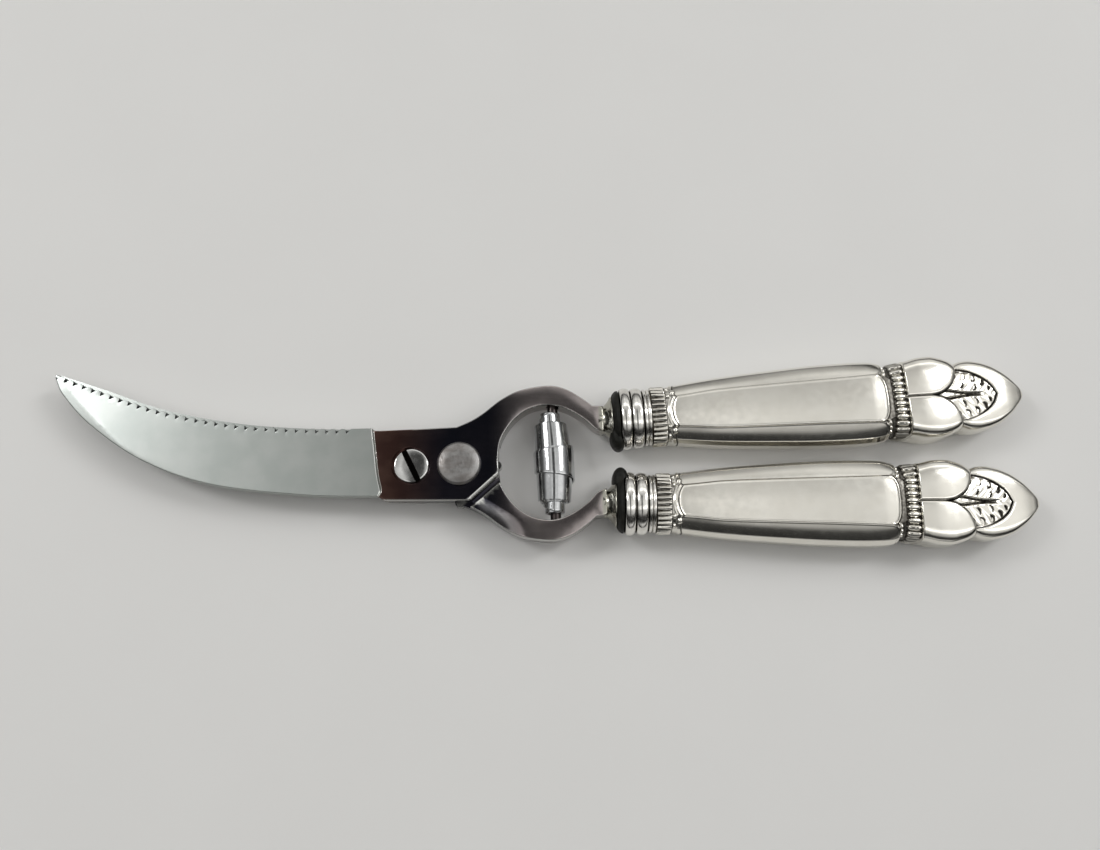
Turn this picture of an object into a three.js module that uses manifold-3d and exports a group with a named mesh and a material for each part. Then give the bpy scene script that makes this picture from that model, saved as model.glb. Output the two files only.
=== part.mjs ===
// Poultry shears with hollow silver handles, closed and locked, lying on their back. Millimetres, +Z up.
//
// Origin: on the pivot's axis, at the back end of the pivot screw. +X runs from the pivot towards the
// handles, along the line midway between them. +Y is the side that the blades curve to, and +Z faces
// away from the pivot nut. The two steel halves lap on the plane z = LAP_Z: the serrated half is above
// it and carries the upper (+Y) handle, the plain half is below it and carries the lower (-Y) handle.
// Below, "lap frame" means the same axes with z = 0 on the lap plane, and "handle frame" means x along
// a handle from its mouth, y away from the other handle and z as in the lap frame.

import * as THREE from 'three';
import { mergeVertices } from 'three/addons/utils/BufferGeometryUtils.js';
import Module from 'manifold-3d';

const wasm = await Module();
wasm.setup();

// ---- driving dimensions ----

const LAP_Z = 5.2; // height of the lap plane above the pivot screw's back end
const LAP_GAP = 0.05; // half of the running gap between the two halves
const HALF_THICK = 3.2; // from the lap plane to either outer face of the joint
const BLADE_THICK = 2.5; // from the lap plane to a blade's flat
const FIT_GAP = 0.3; // clearance around a piece that is set into another
const RUN_GAP = 0.15; // clearance around the screw and the button's shank

const HEAD_R = 4.9;
const HEAD_THICK = 1.1;
const COUNTERBORE_R = 5.3;
const COUNTERBORE_DEPTH = 1.3;
const SHANK_R = 3.0;
const THREAD_R = 2.5;
const SLOT_WIDTH = 1.5;
const SLOT_DEPTH = 0.7;
const SLOT_ANGLE = -65; // degrees, from +X
const NUT_R = 4.6;

const BUTTON_X = 13.5; // from the pivot to the lock button
const BUTTON_R = 6.15;
const BUTTON_SHANK_R = 2.2;
const BUTTON_TRAVEL = 2;
const CAP_R = 5.6;
const CAP_THICK = 1.2;
const CAP_TOP = -HALF_THICK - BUTTON_TRAVEL - 0.1; // leaves the button its travel
const DETENT = { groove: 3.4, bottom: 1, top: 2.1 }; // the groove's radius, floor and roof
const OPENING = 25; // degrees, the travel of the guide slot

const MOUTH = new THREE.Vector2(59.06, 12.18); // the upper handle's mouth
const SPLAY = 1.83; // degrees, the handle's lean away from +X
const HANDLE_LENGTH = 115.8;
const OVAL = 0.78; // thickness over width of the round collars
const WALL = 0.8; // silver sheet
const COLLAR_R = 3.7; // neck of the steel behind the handle
const FLARE_R = 6.2;
const BUFFER_LENGTH = 2.4;
const UPPER_LOBE_REACH = 10; // from the handle's middle to the end of the buffer's lobe
const LOWER_LOBE_REACH = 10.9;
const LOBE_R = 1.75;
const FERRULE_LENGTH = 8.9;
const NECK_R = 6.0; // filler inside the ferrule
const TANG_LENGTH = 62;
const TANG_THICK = 3.6;

const SPRING_X = 39.3;
const SPRING_END = 14.9; // from the centre line to the spring's end turn
const BOW_INSIDE = 16.4; // from the centre line to the bow's inner wall at the spring
const STUD_R = 1.5;
const ROUND = 20; // facets around a turned piece

// ---- small tools ----

const radians = THREE.MathUtils.degToRad;

// A closed geometry as a solid for cutting and joining.
function solid(geometry) {
  const bare = geometry.clone();
  bare.deleteAttribute('normal');
  bare.deleteAttribute('uv');
  const merged = mergeVertices(bare, 1e-4);
  const mesh = new wasm.Mesh({
    numProp: 3,
    vertProperties: new Float32Array(merged.attributes.position.array),
    triVerts: new Uint32Array(merged.index.array),
  });
  return new wasm.Manifold(mesh);
}

// A solid back as a flat-shaded geometry.
function geometryOf(body) {
  const mesh = body.getMesh();
  const geometry = new THREE.BufferGeometry();
  geometry.setAttribute('position', new THREE.BufferAttribute(mesh.vertProperties, 3));
  geometry.setIndex(new THREE.BufferAttribute(mesh.triVerts, 1));
  const flat = geometry.toNonIndexed();
  flat.computeVertexNormals();
  return flat;
}

function points(list) {
  return list.map(([x, y]) => new THREE.Vector2(x, y));
}

// A plan outline raised from one height to another.
function raise(shape, bottom, top, curveSegments = 3) {
  const options = { depth: top - bottom, bevelEnabled: false, curveSegments };
  return new THREE.ExtrudeGeometry(shape, options).translate(0, 0, bottom);
}

// A disc, or a ring with a bore, standing on +Z.
function disc(radius, bottom, top, x = 0) {
  const geometry = new THREE.CylinderGeometry(radius, radius, top - bottom, ROUND);
  return geometry.rotateX(Math.PI / 2).translate(x, 0, (top + bottom) / 2);
}

// A profile of [radius, height] turned about +Z.
function turnedUpright(profile, x = 0) {
  return new THREE.LatheGeometry(points(profile), ROUND).rotateX(Math.PI / 2).translate(x, 0, 0);
}

// A profile of [radius, distance along the handle] turned about the handle and pressed oval.
function turnedOval(profile) {
  return new THREE.LatheGeometry(points(profile), ROUND).rotateZ(-Math.PI / 2).scale(1, 1, OVAL);
}

// A closed skin over equal rings of points, with flat ends.
function loft(rings) {
  const count = rings[0].length;
  const faces = [];
  for (let ring = 0; ring + 1 < rings.length; ring += 1) {
    for (let i = 0; i < count; i += 1) {
      const a = ring * count + i;
      const b = ring * count + ((i + 1) % count);
      faces.push(a, b, a + count, b, b + count, a + count);
    }
  }
  const last = (rings.length - 1) * count;
  for (let i = 1; i + 1 < count; i += 1) {
    faces.push(0, i + 1, i, last, last + i, last + i + 1);
  }
  const geometry = new THREE.BufferGeometry().setFromPoints(rings.flat());
  geometry.setIndex(faces);
  return geometry;
}

const steel = new THREE.MeshStandardMaterial({ color: 0x9a9ea0, roughness: 0.25, metalness: 1 });
const brightSteel = new THREE.MeshStandardMaterial({ color: 0xc4c9ca, roughness: 0.18, metalness: 1 });
const wornSteel = new THREE.MeshStandardMaterial({ color: 0x8d8b88, roughness: 0.5, metalness: 1 });
const silver = new THREE.MeshStandardMaterial({ color: 0xd9d6cf, roughness: 0.14, metalness: 1 });
const blackRubber = new THREE.MeshStandardMaterial({ color: 0x14150f, roughness: 0.6, metalness: 0 });
const cement = new THREE.MeshStandardMaterial({ color: 0x5b4a3a, roughness: 0.9, metalness: 0 });

function named(name, geometry, material) {
  const mesh = new THREE.Mesh(geometry, material);
  mesh.name = name;
  return mesh;
}

// ---- blades (lap frame) ----

// The inner edge of the closed blades, from the tip to the joint, and the outer edge back again. Both
// blades run on into the joint plate as far as BLADE_ROOT.
const BLADE_ROOT = -4;
const INNER_EDGE = [
  [-101.5, 29.9], [-89.8, 25], [-70.7, 18.1], [-48.5, 13.4], [-26, 11.5], [-11.2, 11.2],
];
const OUTER_EDGE = [
  [-9, -8.4], [-30, -7.3], [-56.3, -3.4], [-75.9, 4.2], [-91.1, 14.9], [-99.1, 23.4],
];
const NOTCHES = 30;
const NOTCH_START = 2.8; // from the tip, along the edge
const NOTCH_PITCH = 2.86;
const NOTCH_WIDTH = 1.6;
const NOTCH_DEPTH = 1.15;

// The serrated edge: each notch drops steeply on its tip side and rises slowly towards the joint.
function notchedEdge() {
  const edge = new THREE.SplineCurve(points(INNER_EDGE));
  const length = edge.getLength();
  const path = [edge.getPointAt(0)];
  for (let notch = 0; notch < NOTCHES; notch += 1) {
    const start = NOTCH_START + notch * NOTCH_PITCH;
    const inward = edge.getTangentAt(start / length);
    inward.set(inward.y, -inward.x).multiplyScalar(NOTCH_DEPTH);
    path.push(edge.getPointAt(start / length));
    path.push(edge.getPointAt((start + 0.2) / length).add(inward));
    path.push(edge.getPointAt((start + NOTCH_WIDTH) / length));
  }
  path.push(edge.getPointAt(1));
  return path;
}

function serratedBladeGeometry() {
  const shape = new THREE.Shape(notchedEdge());
  shape.lineTo(-9.4, 10.1);
  shape.lineTo(BLADE_ROOT, 10.1);
  shape.lineTo(BLADE_ROOT, -8.6);
  shape.lineTo(...OUTER_EDGE[0]);
  shape.splineThru(points([...OUTER_EDGE.slice(1), INNER_EDGE[0]]));
  return raise(shape, LAP_GAP, BLADE_THICK, 4);
}

// The plain blade's back stands a little above the serrated edge; its own edge lies behind the
// serrated blade.
const PLAIN_BACK = [[-101.6, 30.3], [-89.5, 26], [-70.5, 19], [-48.4, 14.2], [-26, 12], [-11.2, 11.5]];
const PLAIN_EDGE = [[-9, -3], [-30, -1.5], [-56, 4.5], [-76, 12.5], [-92, 22.2], [-101.6, 30.3]];

function plainBladeGeometry() {
  const shape = new THREE.Shape();
  shape.moveTo(...PLAIN_BACK[0]);
  shape.splineThru(points(PLAIN_BACK.slice(1)));
  shape.lineTo(-9.4, 10.1);
  shape.lineTo(BLADE_ROOT, 10.1);
  shape.lineTo(BLADE_ROOT, -6);
  shape.lineTo(...PLAIN_EDGE[0]);
  shape.splineThru(points(PLAIN_EDGE.slice(1)));
  return raise(shape, -BLADE_THICK, -LAP_GAP, 4);
}

// ---- joint half: plate, bow, collar, flare and tang of the serrated half (lap frame) ----

const SHOULDER = { outer: [16.9, 11.7], inner: [25.2, 5.0] };

function jointOutline() {
  const shape = new THREE.Shape();
  shape.moveTo(-10.2, 10.1);
  shape.lineTo(1, 10.4);
  shape.lineTo(12.8, 10.7);
  shape.splineThru(points([
    [16.9, 12.4], [20.5, 14.6], [25.4, 18.3], [31, 21], [38.9, 22.1], [44, 20.9], [48.6, 18], [51.3, 15.8],
  ]));
  shape.lineTo(54.3, 15.6);
  shape.lineTo(54.3, 8.1);
  shape.splineThru(points([
    [51.8, 9], [48.9, 11.8], [44, 15], [38.9, BOW_INSIDE], [33.2, 15.3], [28.6, 11.9], [25.2, 6.6], [24.3, 1],
  ]));
  shape.lineTo(24.4, -3.7);
  shape.lineTo(16.9, -10.3);
  shape.lineTo(-7.4, -9.6);
  shape.lineTo(-8.6, -8.5);
  return shape;
}

// Everything on the pivot's side of the shoulder, where the two halves lap.
function lapRegion() {
  const [outerX, outerY] = SHOULDER.outer;
  const [innerX, innerY] = SHOULDER.inner;
  const stretch = 1.2;
  const past = (a, b) => a + (a - b) * stretch;
  return new THREE.Shape(points([
    [past(outerX, innerX), past(outerY, innerY)],
    [-30, 40],
    [-30, -40],
    [past(innerX, outerX), -40],
    [past(innerX, outerX), past(innerY, outerY)],
  ]));
}

// The collar's thin bead, then the hollow flare that meets the buffer (handle frame).
function flareGeometry() {
  const end = -BUFFER_LENGTH - 0.2;
  return turnedOval([
    [0, end - 4], [COLLAR_R, end - 4], [COLLAR_R, end - 3.1], [COLLAR_R + 0.35, end - 3],
    [COLLAR_R + 0.35, end - 2.5], [COLLAR_R, end - 2.4], [COLLAR_R + 0.5, end - 1.5],
    [COLLAR_R + 1.2, end - 0.7], [FLARE_R, end], [0, end],
  ]);
}

function tangOutline(gap) {
  const end = TANG_LENGTH + gap;
  return new THREE.Shape(points([[-3, -2.4 - gap], [end, -1.3 - gap], [end, 1.3 + gap], [-3, 2.4 + gap]]));
}

function toHandle(geometry) {
  return geometry.rotateZ(radians(SPLAY)).translate(MOUTH.x, MOUTH.y, 0);
}

// A blind hole in the bow's inner wall for the spring stud.
function studHole() {
  const geometry = new THREE.CylinderGeometry(STUD_R + FIT_GAP, STUD_R + FIT_GAP, 6, ROUND);
  return geometry.translate(SPRING_X, BOW_INSIDE - 1, 0);
}

function jointHalf(turned) {
  const place = (geometry) => solid(turned ? geometry.rotateX(Math.PI) : geometry);
  const tang = raise(tangOutline(0), -TANG_THICK / 2, TANG_THICK / 2);
  return place(raise(jointOutline(), -HALF_THICK, HALF_THICK, 3))
    .subtract(place(raise(lapRegion(), -HALF_THICK - 1, LAP_GAP)))
    .add(place(toHandle(flareGeometry())))
    .add(place(toHandle(tang)))
    .subtract(place(studHole()));
}

// ---- the two forgings ----

function serratedBlade() {
  const through = HALF_THICK + 1;
  return jointHalf(false)
    .add(solid(serratedBladeGeometry()))
    .subtract(solid(disc(SHANK_R + RUN_GAP, -1, through)))
    .subtract(solid(disc(COUNTERBORE_R, HALF_THICK - COUNTERBORE_DEPTH, through)))
    .subtract(solid(disc(BUTTON_SHANK_R + RUN_GAP, -1, through, BUTTON_X)))
    .subtract(solid(disc(DETENT.groove, DETENT.bottom, DETENT.top, BUTTON_X)));
}

// The slot in the plain half, in which the button's shank swings as the shears open.
function guideSlot() {
  const halfWidth = BUTTON_SHANK_R + 0.4;
  const end = radians(OPENING);
  const shape = new THREE.Shape();
  shape.absarc(0, 0, BUTTON_X + halfWidth, 0, end, false);
  shape.absarc(BUTTON_X * Math.cos(end), BUTTON_X * Math.sin(end), halfWidth, end, end + Math.PI, false);
  shape.absarc(0, 0, BUTTON_X - halfWidth, end, 0, true);
  shape.absarc(BUTTON_X, 0, halfWidth, Math.PI, 2 * Math.PI, false);
  return raise(shape, -HALF_THICK - 1, 1, 8);
}

function plainBlade() {
  return jointHalf(true)
    .add(solid(plainBladeGeometry()))
    .subtract(solid(disc(THREAD_R + RUN_GAP, -HALF_THICK - 1, 1)))
    .subtract(solid(guideSlot()));
}

// ---- pivot ----

function pivotScrew() {
  const headBottom = HALF_THICK - COUNTERBORE_DEPTH + 0.05;
  const headTop = headBottom + HEAD_THICK;
  const body = turnedUpright([
    [0, -LAP_Z], [THREAD_R, -LAP_Z], [THREAD_R, LAP_GAP], [SHANK_R, LAP_GAP], [SHANK_R, headBottom],
    [HEAD_R, headBottom], [HEAD_R, headTop - 0.3], [HEAD_R - 0.4, headTop], [0, headTop + 0.15],
  ]);
  const slot = new THREE.BoxGeometry(3 * HEAD_R, SLOT_WIDTH, 2).translate(0, 0, headTop + 1 - SLOT_DEPTH);
  return solid(body).subtract(solid(slot.rotateZ(radians(SLOT_ANGLE))));
}

function pivotNut() {
  const top = -HALF_THICK - LAP_GAP;
  const nut = turnedUpright([
    [THREAD_R + RUN_GAP, -LAP_Z], [NUT_R - 0.4, -LAP_Z], [NUT_R, -LAP_Z + 0.4], [NUT_R, top],
    [THREAD_R + RUN_GAP, top], [THREAD_R + RUN_GAP, -LAP_Z],
  ]);
  const spannerNotches = new THREE.BoxGeometry(3 * NUT_R, 1.4, 2).translate(0, 0, -LAP_Z);
  const middle = disc(NUT_R - 1.2, -LAP_Z - 2, -LAP_Z + 2);
  return solid(nut).subtract(solid(spannerNotches).subtract(solid(middle)));
}

// ---- lock button ----

// The button's disc lies on the front plate; its shank ends in the rear cap.
function lockButton() {
  const bottom = HALF_THICK + 0.1;
  const shankEnd = CAP_TOP - CAP_THICK + 0.2;
  return turnedUpright([
    [0, shankEnd], [BUTTON_SHANK_R, shankEnd], [BUTTON_SHANK_R, bottom], [BUTTON_R, bottom],
    [BUTTON_R, bottom + 0.9], [BUTTON_R - 0.5, bottom + 1.5], [BUTTON_R - 2.4, bottom + 1.85],
    [0, bottom + 1.95],
  ], BUTTON_X);
}

function lockButtonCap() {
  const bottom = CAP_TOP - CAP_THICK;
  const bore = BUTTON_SHANK_R + RUN_GAP;
  return turnedUpright([
    [bore, bottom], [CAP_R - 0.5, bottom], [CAP_R, bottom + 0.5], [CAP_R, CAP_TOP], [bore, CAP_TOP],
    [bore, bottom],
  ], BUTTON_X);
}

// A split spring ring in the front plate's groove.
function detentRing() {
  const gap = radians(20);
  const inner = BUTTON_SHANK_R + RUN_GAP;
  const shape = new THREE.Shape();
  shape.absarc(0, 0, DETENT.groove - RUN_GAP, gap, 2 * Math.PI - gap, false);
  shape.absarc(0, 0, inner, 2 * Math.PI - gap, gap, true);
  return raise(shape, DETENT.bottom + RUN_GAP, DETENT.top - RUN_GAP, 12).translate(BUTTON_X, 0, 0);
}

// ---- spring ----

// The strip spring's outer shape: bands that step up to the widest turn and down again, hollow at
// both ends for the studs.
function voluteSpring() {
  const bands = [[2.2, SPRING_END], [2.2, 12], [3.9, 11.8], [4.3, 4.6], [4.7, 4.2], [5, 0]];
  const half = [[STUD_R + FIT_GAP, 11.5], [STUD_R + FIT_GAP, SPRING_END], ...bands];
  const other = half.slice(0, -1).map(([r, y]) => [r, -y]).reverse();
  const profile = [[0, 11.5], ...half, ...other, [0, -11.5]].reverse();
  return new THREE.LatheGeometry(points(profile), ROUND).translate(SPRING_X, 0, 0);
}

function springStud() {
  const tip = BOW_INSIDE - 4.4;
  const foot = BOW_INSIDE + 1.7;
  const profile = [[0, tip], [STUD_R - 0.3, tip], [STUD_R, tip + 0.4], [STUD_R, foot], [0, foot]];
  return new THREE.LatheGeometry(points(profile), 16).translate(SPRING_X, 0, 0);
}

// ---- handle (handle frame) ----

// Sections along the handle: distance from its tip, half width, half thickness, half width of the
// flat panel. The two creases on either side of the beaded band are too shallow to show inside.
const BAND_CREASES = [39.6, 34.8];
const HANDLE_SECTIONS = [
  [106.6, 8.1, 6.1, 4.4], [102.6, 8.1, 6.1, 4.4], [101, 8.4, 5.9, 4], [88, 10, 6.1, 5.2],
  [73, 11.2, 6.4, 5.7], [58, 12, 6.6, 6.1], [48, 12.15, 6.6, 6.4], [42, 11.7, 6.4, 6.5],
  [BAND_CREASES[0], 10.6, 6.1, 5.8], [39.4, 10.9, 6.5, 6], [35, 10.9, 6.5, 6],
  [BAND_CREASES[1], 10.3, 6, 5], [30.5, 11.4, 6.5, 5.4], [25.5, 11.9, 6.3, 5.6],
  [21.5, 11, 5.6, 5.4], [18.3, 9.4, 4.8, 5], [16.3, 10.2, 4.9, 5.4], [12.5, 10.1, 4.6, 5.6],
  [8, 8.8, 4.1, 5], [4.5, 6.5, 3.5, 3.6], [2, 3.9, 2.8, 2], [0, 0.9, 1.8, 0.4],
];
const CAVITY_END = 9; // from the tip, where the handle gets too thin to hollow

function handleRing(fromTip, width, height, panel) {
  const side = [[1, 0], [0.985, 0.36], [0.9, 0.68]];
  const quarter = side.map(([y, z]) => [width * y, height * z]);
  quarter.push([panel, height]);
  const crown = [0, height + 0.15];
  const mirrored = quarter.slice().reverse().map(([y, z]) => [-y, z]);
  const top = [...quarter, crown, ...mirrored];
  const bottom = top.slice(1, -1).reverse().map(([y, z]) => [y, -z]);
  return [...top, ...bottom].map(([y, z]) => new THREE.Vector3(HANDLE_LENGTH - fromTip, y, z));
}

// The sections shrunk by a distance, as far as the cavity goes.
function handleCore(inset) {
  return HANDLE_SECTIONS.filter(([fromTip]) => fromTip > CAVITY_END && !BAND_CREASES.includes(fromTip))
    .map(([fromTip, w, h, p]) => [fromTip, w - inset, h - inset, p - inset * 0.4]);
}

function handleShell(front) {
  const skin = HANDLE_SECTIONS.map((section) => handleRing(...section));
  const core = handleCore(WALL);
  const mouth = [core[0][0] + 2, ...core[0].slice(1)];
  const cavity = [mouth, ...core].map((section) => handleRing(...section));
  const half = new THREE.BoxGeometry(300, 60, 20).translate(0, 0, front ? 10 : -10);
  return solid(loft(skin)).subtract(solid(loft(cavity))).intersect(solid(half));
}

function handleFiller() {
  const core = handleCore(WALL + FIT_GAP);
  const neck = turnedOval([[0, 0.3], [NECK_R, 0.3], [NECK_R, FERRULE_LENGTH + 2], [0, FERRULE_LENGTH + 2]]);
  const tangHole = raise(tangOutline(FIT_GAP), -TANG_THICK / 2 - FIT_GAP, TANG_THICK / 2 + FIT_GAP);
  const body = solid(loft(core.map((section) => handleRing(...section))));
  return body.add(solid(neck)).subtract(solid(tangHole));
}

// Two bold beads and two thin rings, as one turned collar.
function ferrule() {
  const bore = NECK_R + FIT_GAP;
  return turnedOval([
    [bore, 0], [8, 0], [8.7, 0.5], [8.9, 1.45], [8.6, 2.5], [7.8, 3.1], [8.5, 3.9], [8.75, 5], [8.4, 6.1],
    [7.7, 6.6], [8.25, 7.2], [7.8, 7.7], [8.2, 8.3], [7.9, FERRULE_LENGTH], [bore, FERRULE_LENGTH], [bore, 0],
  ]);
}

// The black buffer: a chamfered ring with a rounded lobe that reaches towards the other handle.
function bufferRing(reach) {
  const bore = 4.2;
  const ring = turnedOval([
    [bore, -BUFFER_LENGTH], [FLARE_R + 0.3, -BUFFER_LENGTH], [8.3, -1.1], [8.4, -0.2], [bore, -0.2],
    [bore, -BUFFER_LENGTH],
  ]);
  const lobe = new THREE.CylinderGeometry(LOBE_R, LOBE_R, 8, 14).rotateX(Math.PI / 2);
  return solid(ring).add(solid(lobe.translate(-0.2 - LOBE_R, LOBE_R - reach, 0)));
}

// ---- assembly ----

// A handle with its buffer. prefix names its side, turned says that its front faces -Z, and reach is
// how far the buffer's lobe goes from the handle's middle.
function handle(prefix, turned, reach) {
  const parts = new THREE.Group();
  const front = `${prefix}_handle_front_shell`;
  const back = `${prefix}_handle_back_shell`;
  parts.add(named(turned ? back : front, geometryOf(handleShell(true)), silver));
  parts.add(named(turned ? front : back, geometryOf(handleShell(false)), silver));
  parts.add(named(`${prefix}_handle_filler`, geometryOf(handleFiller()), cement));
  parts.add(named(`${prefix}_ferrule`, ferrule(), silver));
  parts.add(named(`${prefix}_buffer_ring`, geometryOf(bufferRing(reach)), blackRubber));
  parts.position.set(MOUTH.x, MOUTH.y, 0);
  parts.rotation.z = radians(SPLAY);
  return parts;
}

// One side of the shears: the handle and spring stud. The lower side is the upper one, turned over.
function side(prefix, turned, reach) {
  const parts = new THREE.Group();
  parts.add(handle(prefix, turned, reach));
  parts.add(named(`${prefix}_spring_stud`, springStud(), steel));
  parts.rotation.x = turned ? Math.PI : 0;
  return parts;
}

const group = new THREE.Group();
group.add(named('serrated_blade', geometryOf(serratedBlade()), brightSteel));
group.add(named('plain_blade', geometryOf(plainBlade()), brightSteel));
group.add(named('pivot_screw', geometryOf(pivotScrew()), steel));
group.add(named('pivot_nut', geometryOf(pivotNut()), steel));
group.add(named('lock_button', lockButton(), wornSteel));
group.add(named('lock_button_cap', lockButtonCap(), wornSteel));
group.add(named('lock_detent_ring', detentRing(), steel));
group.add(named('volute_spring', voluteSpring(), brightSteel));
group.add(side('upper', false, UPPER_LOBE_REACH));
group.add(side('lower', true, LOWER_LOBE_REACH));
group.position.z = LAP_Z;

export default group;
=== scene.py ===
import math

import bmesh
import bpy
import numpy as np
from mathutils import Matrix, Vector, geometry


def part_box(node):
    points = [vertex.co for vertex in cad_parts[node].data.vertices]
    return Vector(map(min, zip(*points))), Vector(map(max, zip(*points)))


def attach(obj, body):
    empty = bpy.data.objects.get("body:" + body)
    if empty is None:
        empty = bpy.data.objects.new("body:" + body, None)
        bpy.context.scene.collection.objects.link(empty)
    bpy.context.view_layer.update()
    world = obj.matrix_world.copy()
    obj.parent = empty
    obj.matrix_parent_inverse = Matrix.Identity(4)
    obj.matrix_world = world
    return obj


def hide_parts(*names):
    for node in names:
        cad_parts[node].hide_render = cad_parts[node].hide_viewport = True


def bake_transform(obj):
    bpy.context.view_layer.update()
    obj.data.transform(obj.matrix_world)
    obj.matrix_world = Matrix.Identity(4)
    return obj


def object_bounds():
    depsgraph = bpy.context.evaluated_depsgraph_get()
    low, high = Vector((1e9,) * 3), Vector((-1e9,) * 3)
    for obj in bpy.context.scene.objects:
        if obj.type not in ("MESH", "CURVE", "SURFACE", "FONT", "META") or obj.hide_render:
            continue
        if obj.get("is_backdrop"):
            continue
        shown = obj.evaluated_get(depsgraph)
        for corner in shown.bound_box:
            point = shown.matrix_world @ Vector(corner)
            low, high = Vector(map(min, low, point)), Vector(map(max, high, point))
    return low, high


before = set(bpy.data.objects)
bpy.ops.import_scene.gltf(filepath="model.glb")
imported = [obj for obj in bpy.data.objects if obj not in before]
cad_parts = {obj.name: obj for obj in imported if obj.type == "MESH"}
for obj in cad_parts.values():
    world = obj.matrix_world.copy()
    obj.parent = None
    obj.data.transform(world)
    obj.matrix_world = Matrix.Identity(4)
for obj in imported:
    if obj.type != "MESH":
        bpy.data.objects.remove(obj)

CAD_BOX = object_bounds()

# Poultry shears with hollow silver handles, closed. Shapes are worked out in millimetres and stored in
# metres. "Lap frame" is the row frame with z = 0 on the plane where the two steel halves lap. "Handle
# frame" has x along a handle from its mouth, y away from the other handle and z as in the lap frame.

# ---- sizes (mm), most of them as in the CAD part ----

MM = 0.001
LAP_Z = 5.2
LAP_GAP = 0.05
HALF_THICK = 3.2
BLADE_THICK = 2.5
COUNTERBORE_R = 5.3
COUNTERBORE_DEPTH = 1.3
SHANK_R = 3.0
THREAD_R = 2.5
SLOT_WIDTH = 1.5
SLOT_DEPTH = 0.7
SLOT_ANGLE = -65
BUTTON_SHANK_R = 2.2
RUN_GAP = 0.15
OPENING = 25
MOUTH = (59.06, 12.18)
SPLAY = 1.83
HANDLE_LENGTH = 115.8
OVAL = 0.78
WALL = 0.8
COLLAR_R = 3.7
FLARE_R = 6.2
BUFFER_LENGTH = 2.0
FERRULE_LENGTH = 8.9
BOW_INSIDE = 16.4
STUD_R = 1.5

INNER_EDGE = [(-101.5, 29.9), (-89.8, 25), (-70.7, 18.1), (-48.5, 13.4), (-26, 11.5), (-11.2, 11.2)]
OUTER_EDGE = [(-9, -8.4), (-30, -7.3), (-56.3, -3.4), (-75.9, 4.2), (-91.1, 14.9), (-99.1, 23.4),
              (-101.2, 27), (-101.8, 28.7)]
NOTCHES = 30
NOTCH_START = 2.8
NOTCH_PITCH = 2.86
NOTCH_WIDTH = 1.65
NOTCH_DEPTH = 1.3
PLAIN_BACK = [(-101.6, 30.3), (-89.5, 26), (-70.5, 19), (-48.4, 14.2), (-26, 12), (-11.2, 11.5)]
PLAIN_EDGE = [(-9, -3), (-30, -1.5), (-56, 4.5), (-76, 12.5), (-92, 22.2), (-101.6, 30.3)]
BOW_OUTSIDE = [(12.8, 10.7), (16.9, 12.4), (20.5, 14.6), (25.4, 18.3), (31, 21), (38.9, 22.1),
               (44, 20.9), (48.6, 18), (51.3, 15.8)]
BOW_INNER = [(54.3, 8.1), (51.8, 9), (48.9, 11.8), (44, 15), (38.9, BOW_INSIDE), (33.2, 15.3),
             (28.6, 11.9), (25.2, 6.6), (24.3, 1)]
SHOULDER = np.array([(16.9, 11.7), (25.2, 5.0)])  # where the front plate ends, from outside to inside


def middle(node):
    """The middle of a CAD node's box, in millimetres in the lap frame."""
    low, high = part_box(node)
    return np.array((low + high) / 2) / MM - [0, 0, LAP_Z]


def heights(node):
    """A CAD node's lowest and highest points, in millimetres from the lap plane."""
    return [corner.z / MM - LAP_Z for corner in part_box(node)]


def radius_of(node):
    """Half of a CAD node's width, in millimetres."""
    low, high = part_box(node)
    return (high.x - low.x) / MM / 2


PIVOT = middle("pivot_screw")
BUTTON = middle("lock_button")
SPRING = middle("volute_spring") + [0.7, 0, 0]

# ---- plan geometry (mm) ----

BATCH = 2000  # points compared with a line at a time


def smooth(value):
    """An S curve from 0 to 1."""
    t = np.clip(value, 0, 1)
    return t * t * (3 - 2 * t)


def spline(points, step=0.5):
    """A smooth line through plan points, with about step between its points."""
    p = np.asarray(points, float)
    padded = np.vstack([p[:1], p, p[-1:]])
    line = [p[:1]]
    for before, start, end, after in zip(padded[:-3], padded[1:-2], padded[2:-1], padded[3:]):
        count = max(2, round(float(np.linalg.norm(end - start)) / step))
        t = np.arange(1, count + 1)[:, None] / count
        leave = (end - before) / 2
        arrive = (after - start) / 2
        cubic = 2 * start - 2 * end + leave + arrive
        square = -3 * start + 3 * end - 2 * leave - arrive
        line.append(cubic * t**3 + square * t**2 + leave * t + start)
    return np.vstack(line)


def straight(points, step=0.8):
    """Straight lines through plan points, with a point about every step."""
    p = np.asarray(points, float)
    line = [p[:1]]
    for start, end in zip(p[:-1], p[1:]):
        count = max(1, round(float(np.linalg.norm(end - start)) / step))
        t = np.arange(1, count + 1)[:, None] / count
        line.append(start + (end - start) * t)
    return np.vstack(line)


def mirrored(points):
    return [(x, -y) for x, y in points]


def joined(*lines):
    """Lines end to end as one closed outline, without doubled points."""
    line = np.vstack(lines)
    gap = np.linalg.norm(line - np.roll(line, 1, 0), axis=1)
    return line[gap > 1e-3]


def lengths(line):
    """The distance along a line to each of its points."""
    steps = np.linalg.norm(np.diff(line, axis=0), axis=1)
    return np.concatenate([[0], np.cumsum(steps)])


def along_line(line, distances):
    """Points at distances along a line."""
    return np.stack([np.interp(distances, lengths(line), line[:, k]) for k in (0, 1)], 1)


def walked(line, distances):
    """Points at distances along a line, and the direction to its right there."""
    distances = np.asarray(distances)
    ahead = along_line(line, distances + 0.2) - along_line(line, distances - 0.2)
    ahead /= np.linalg.norm(ahead, axis=1)[:, None]
    return along_line(line, distances), np.stack([ahead[:, 1], -ahead[:, 0]], 1)


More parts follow.
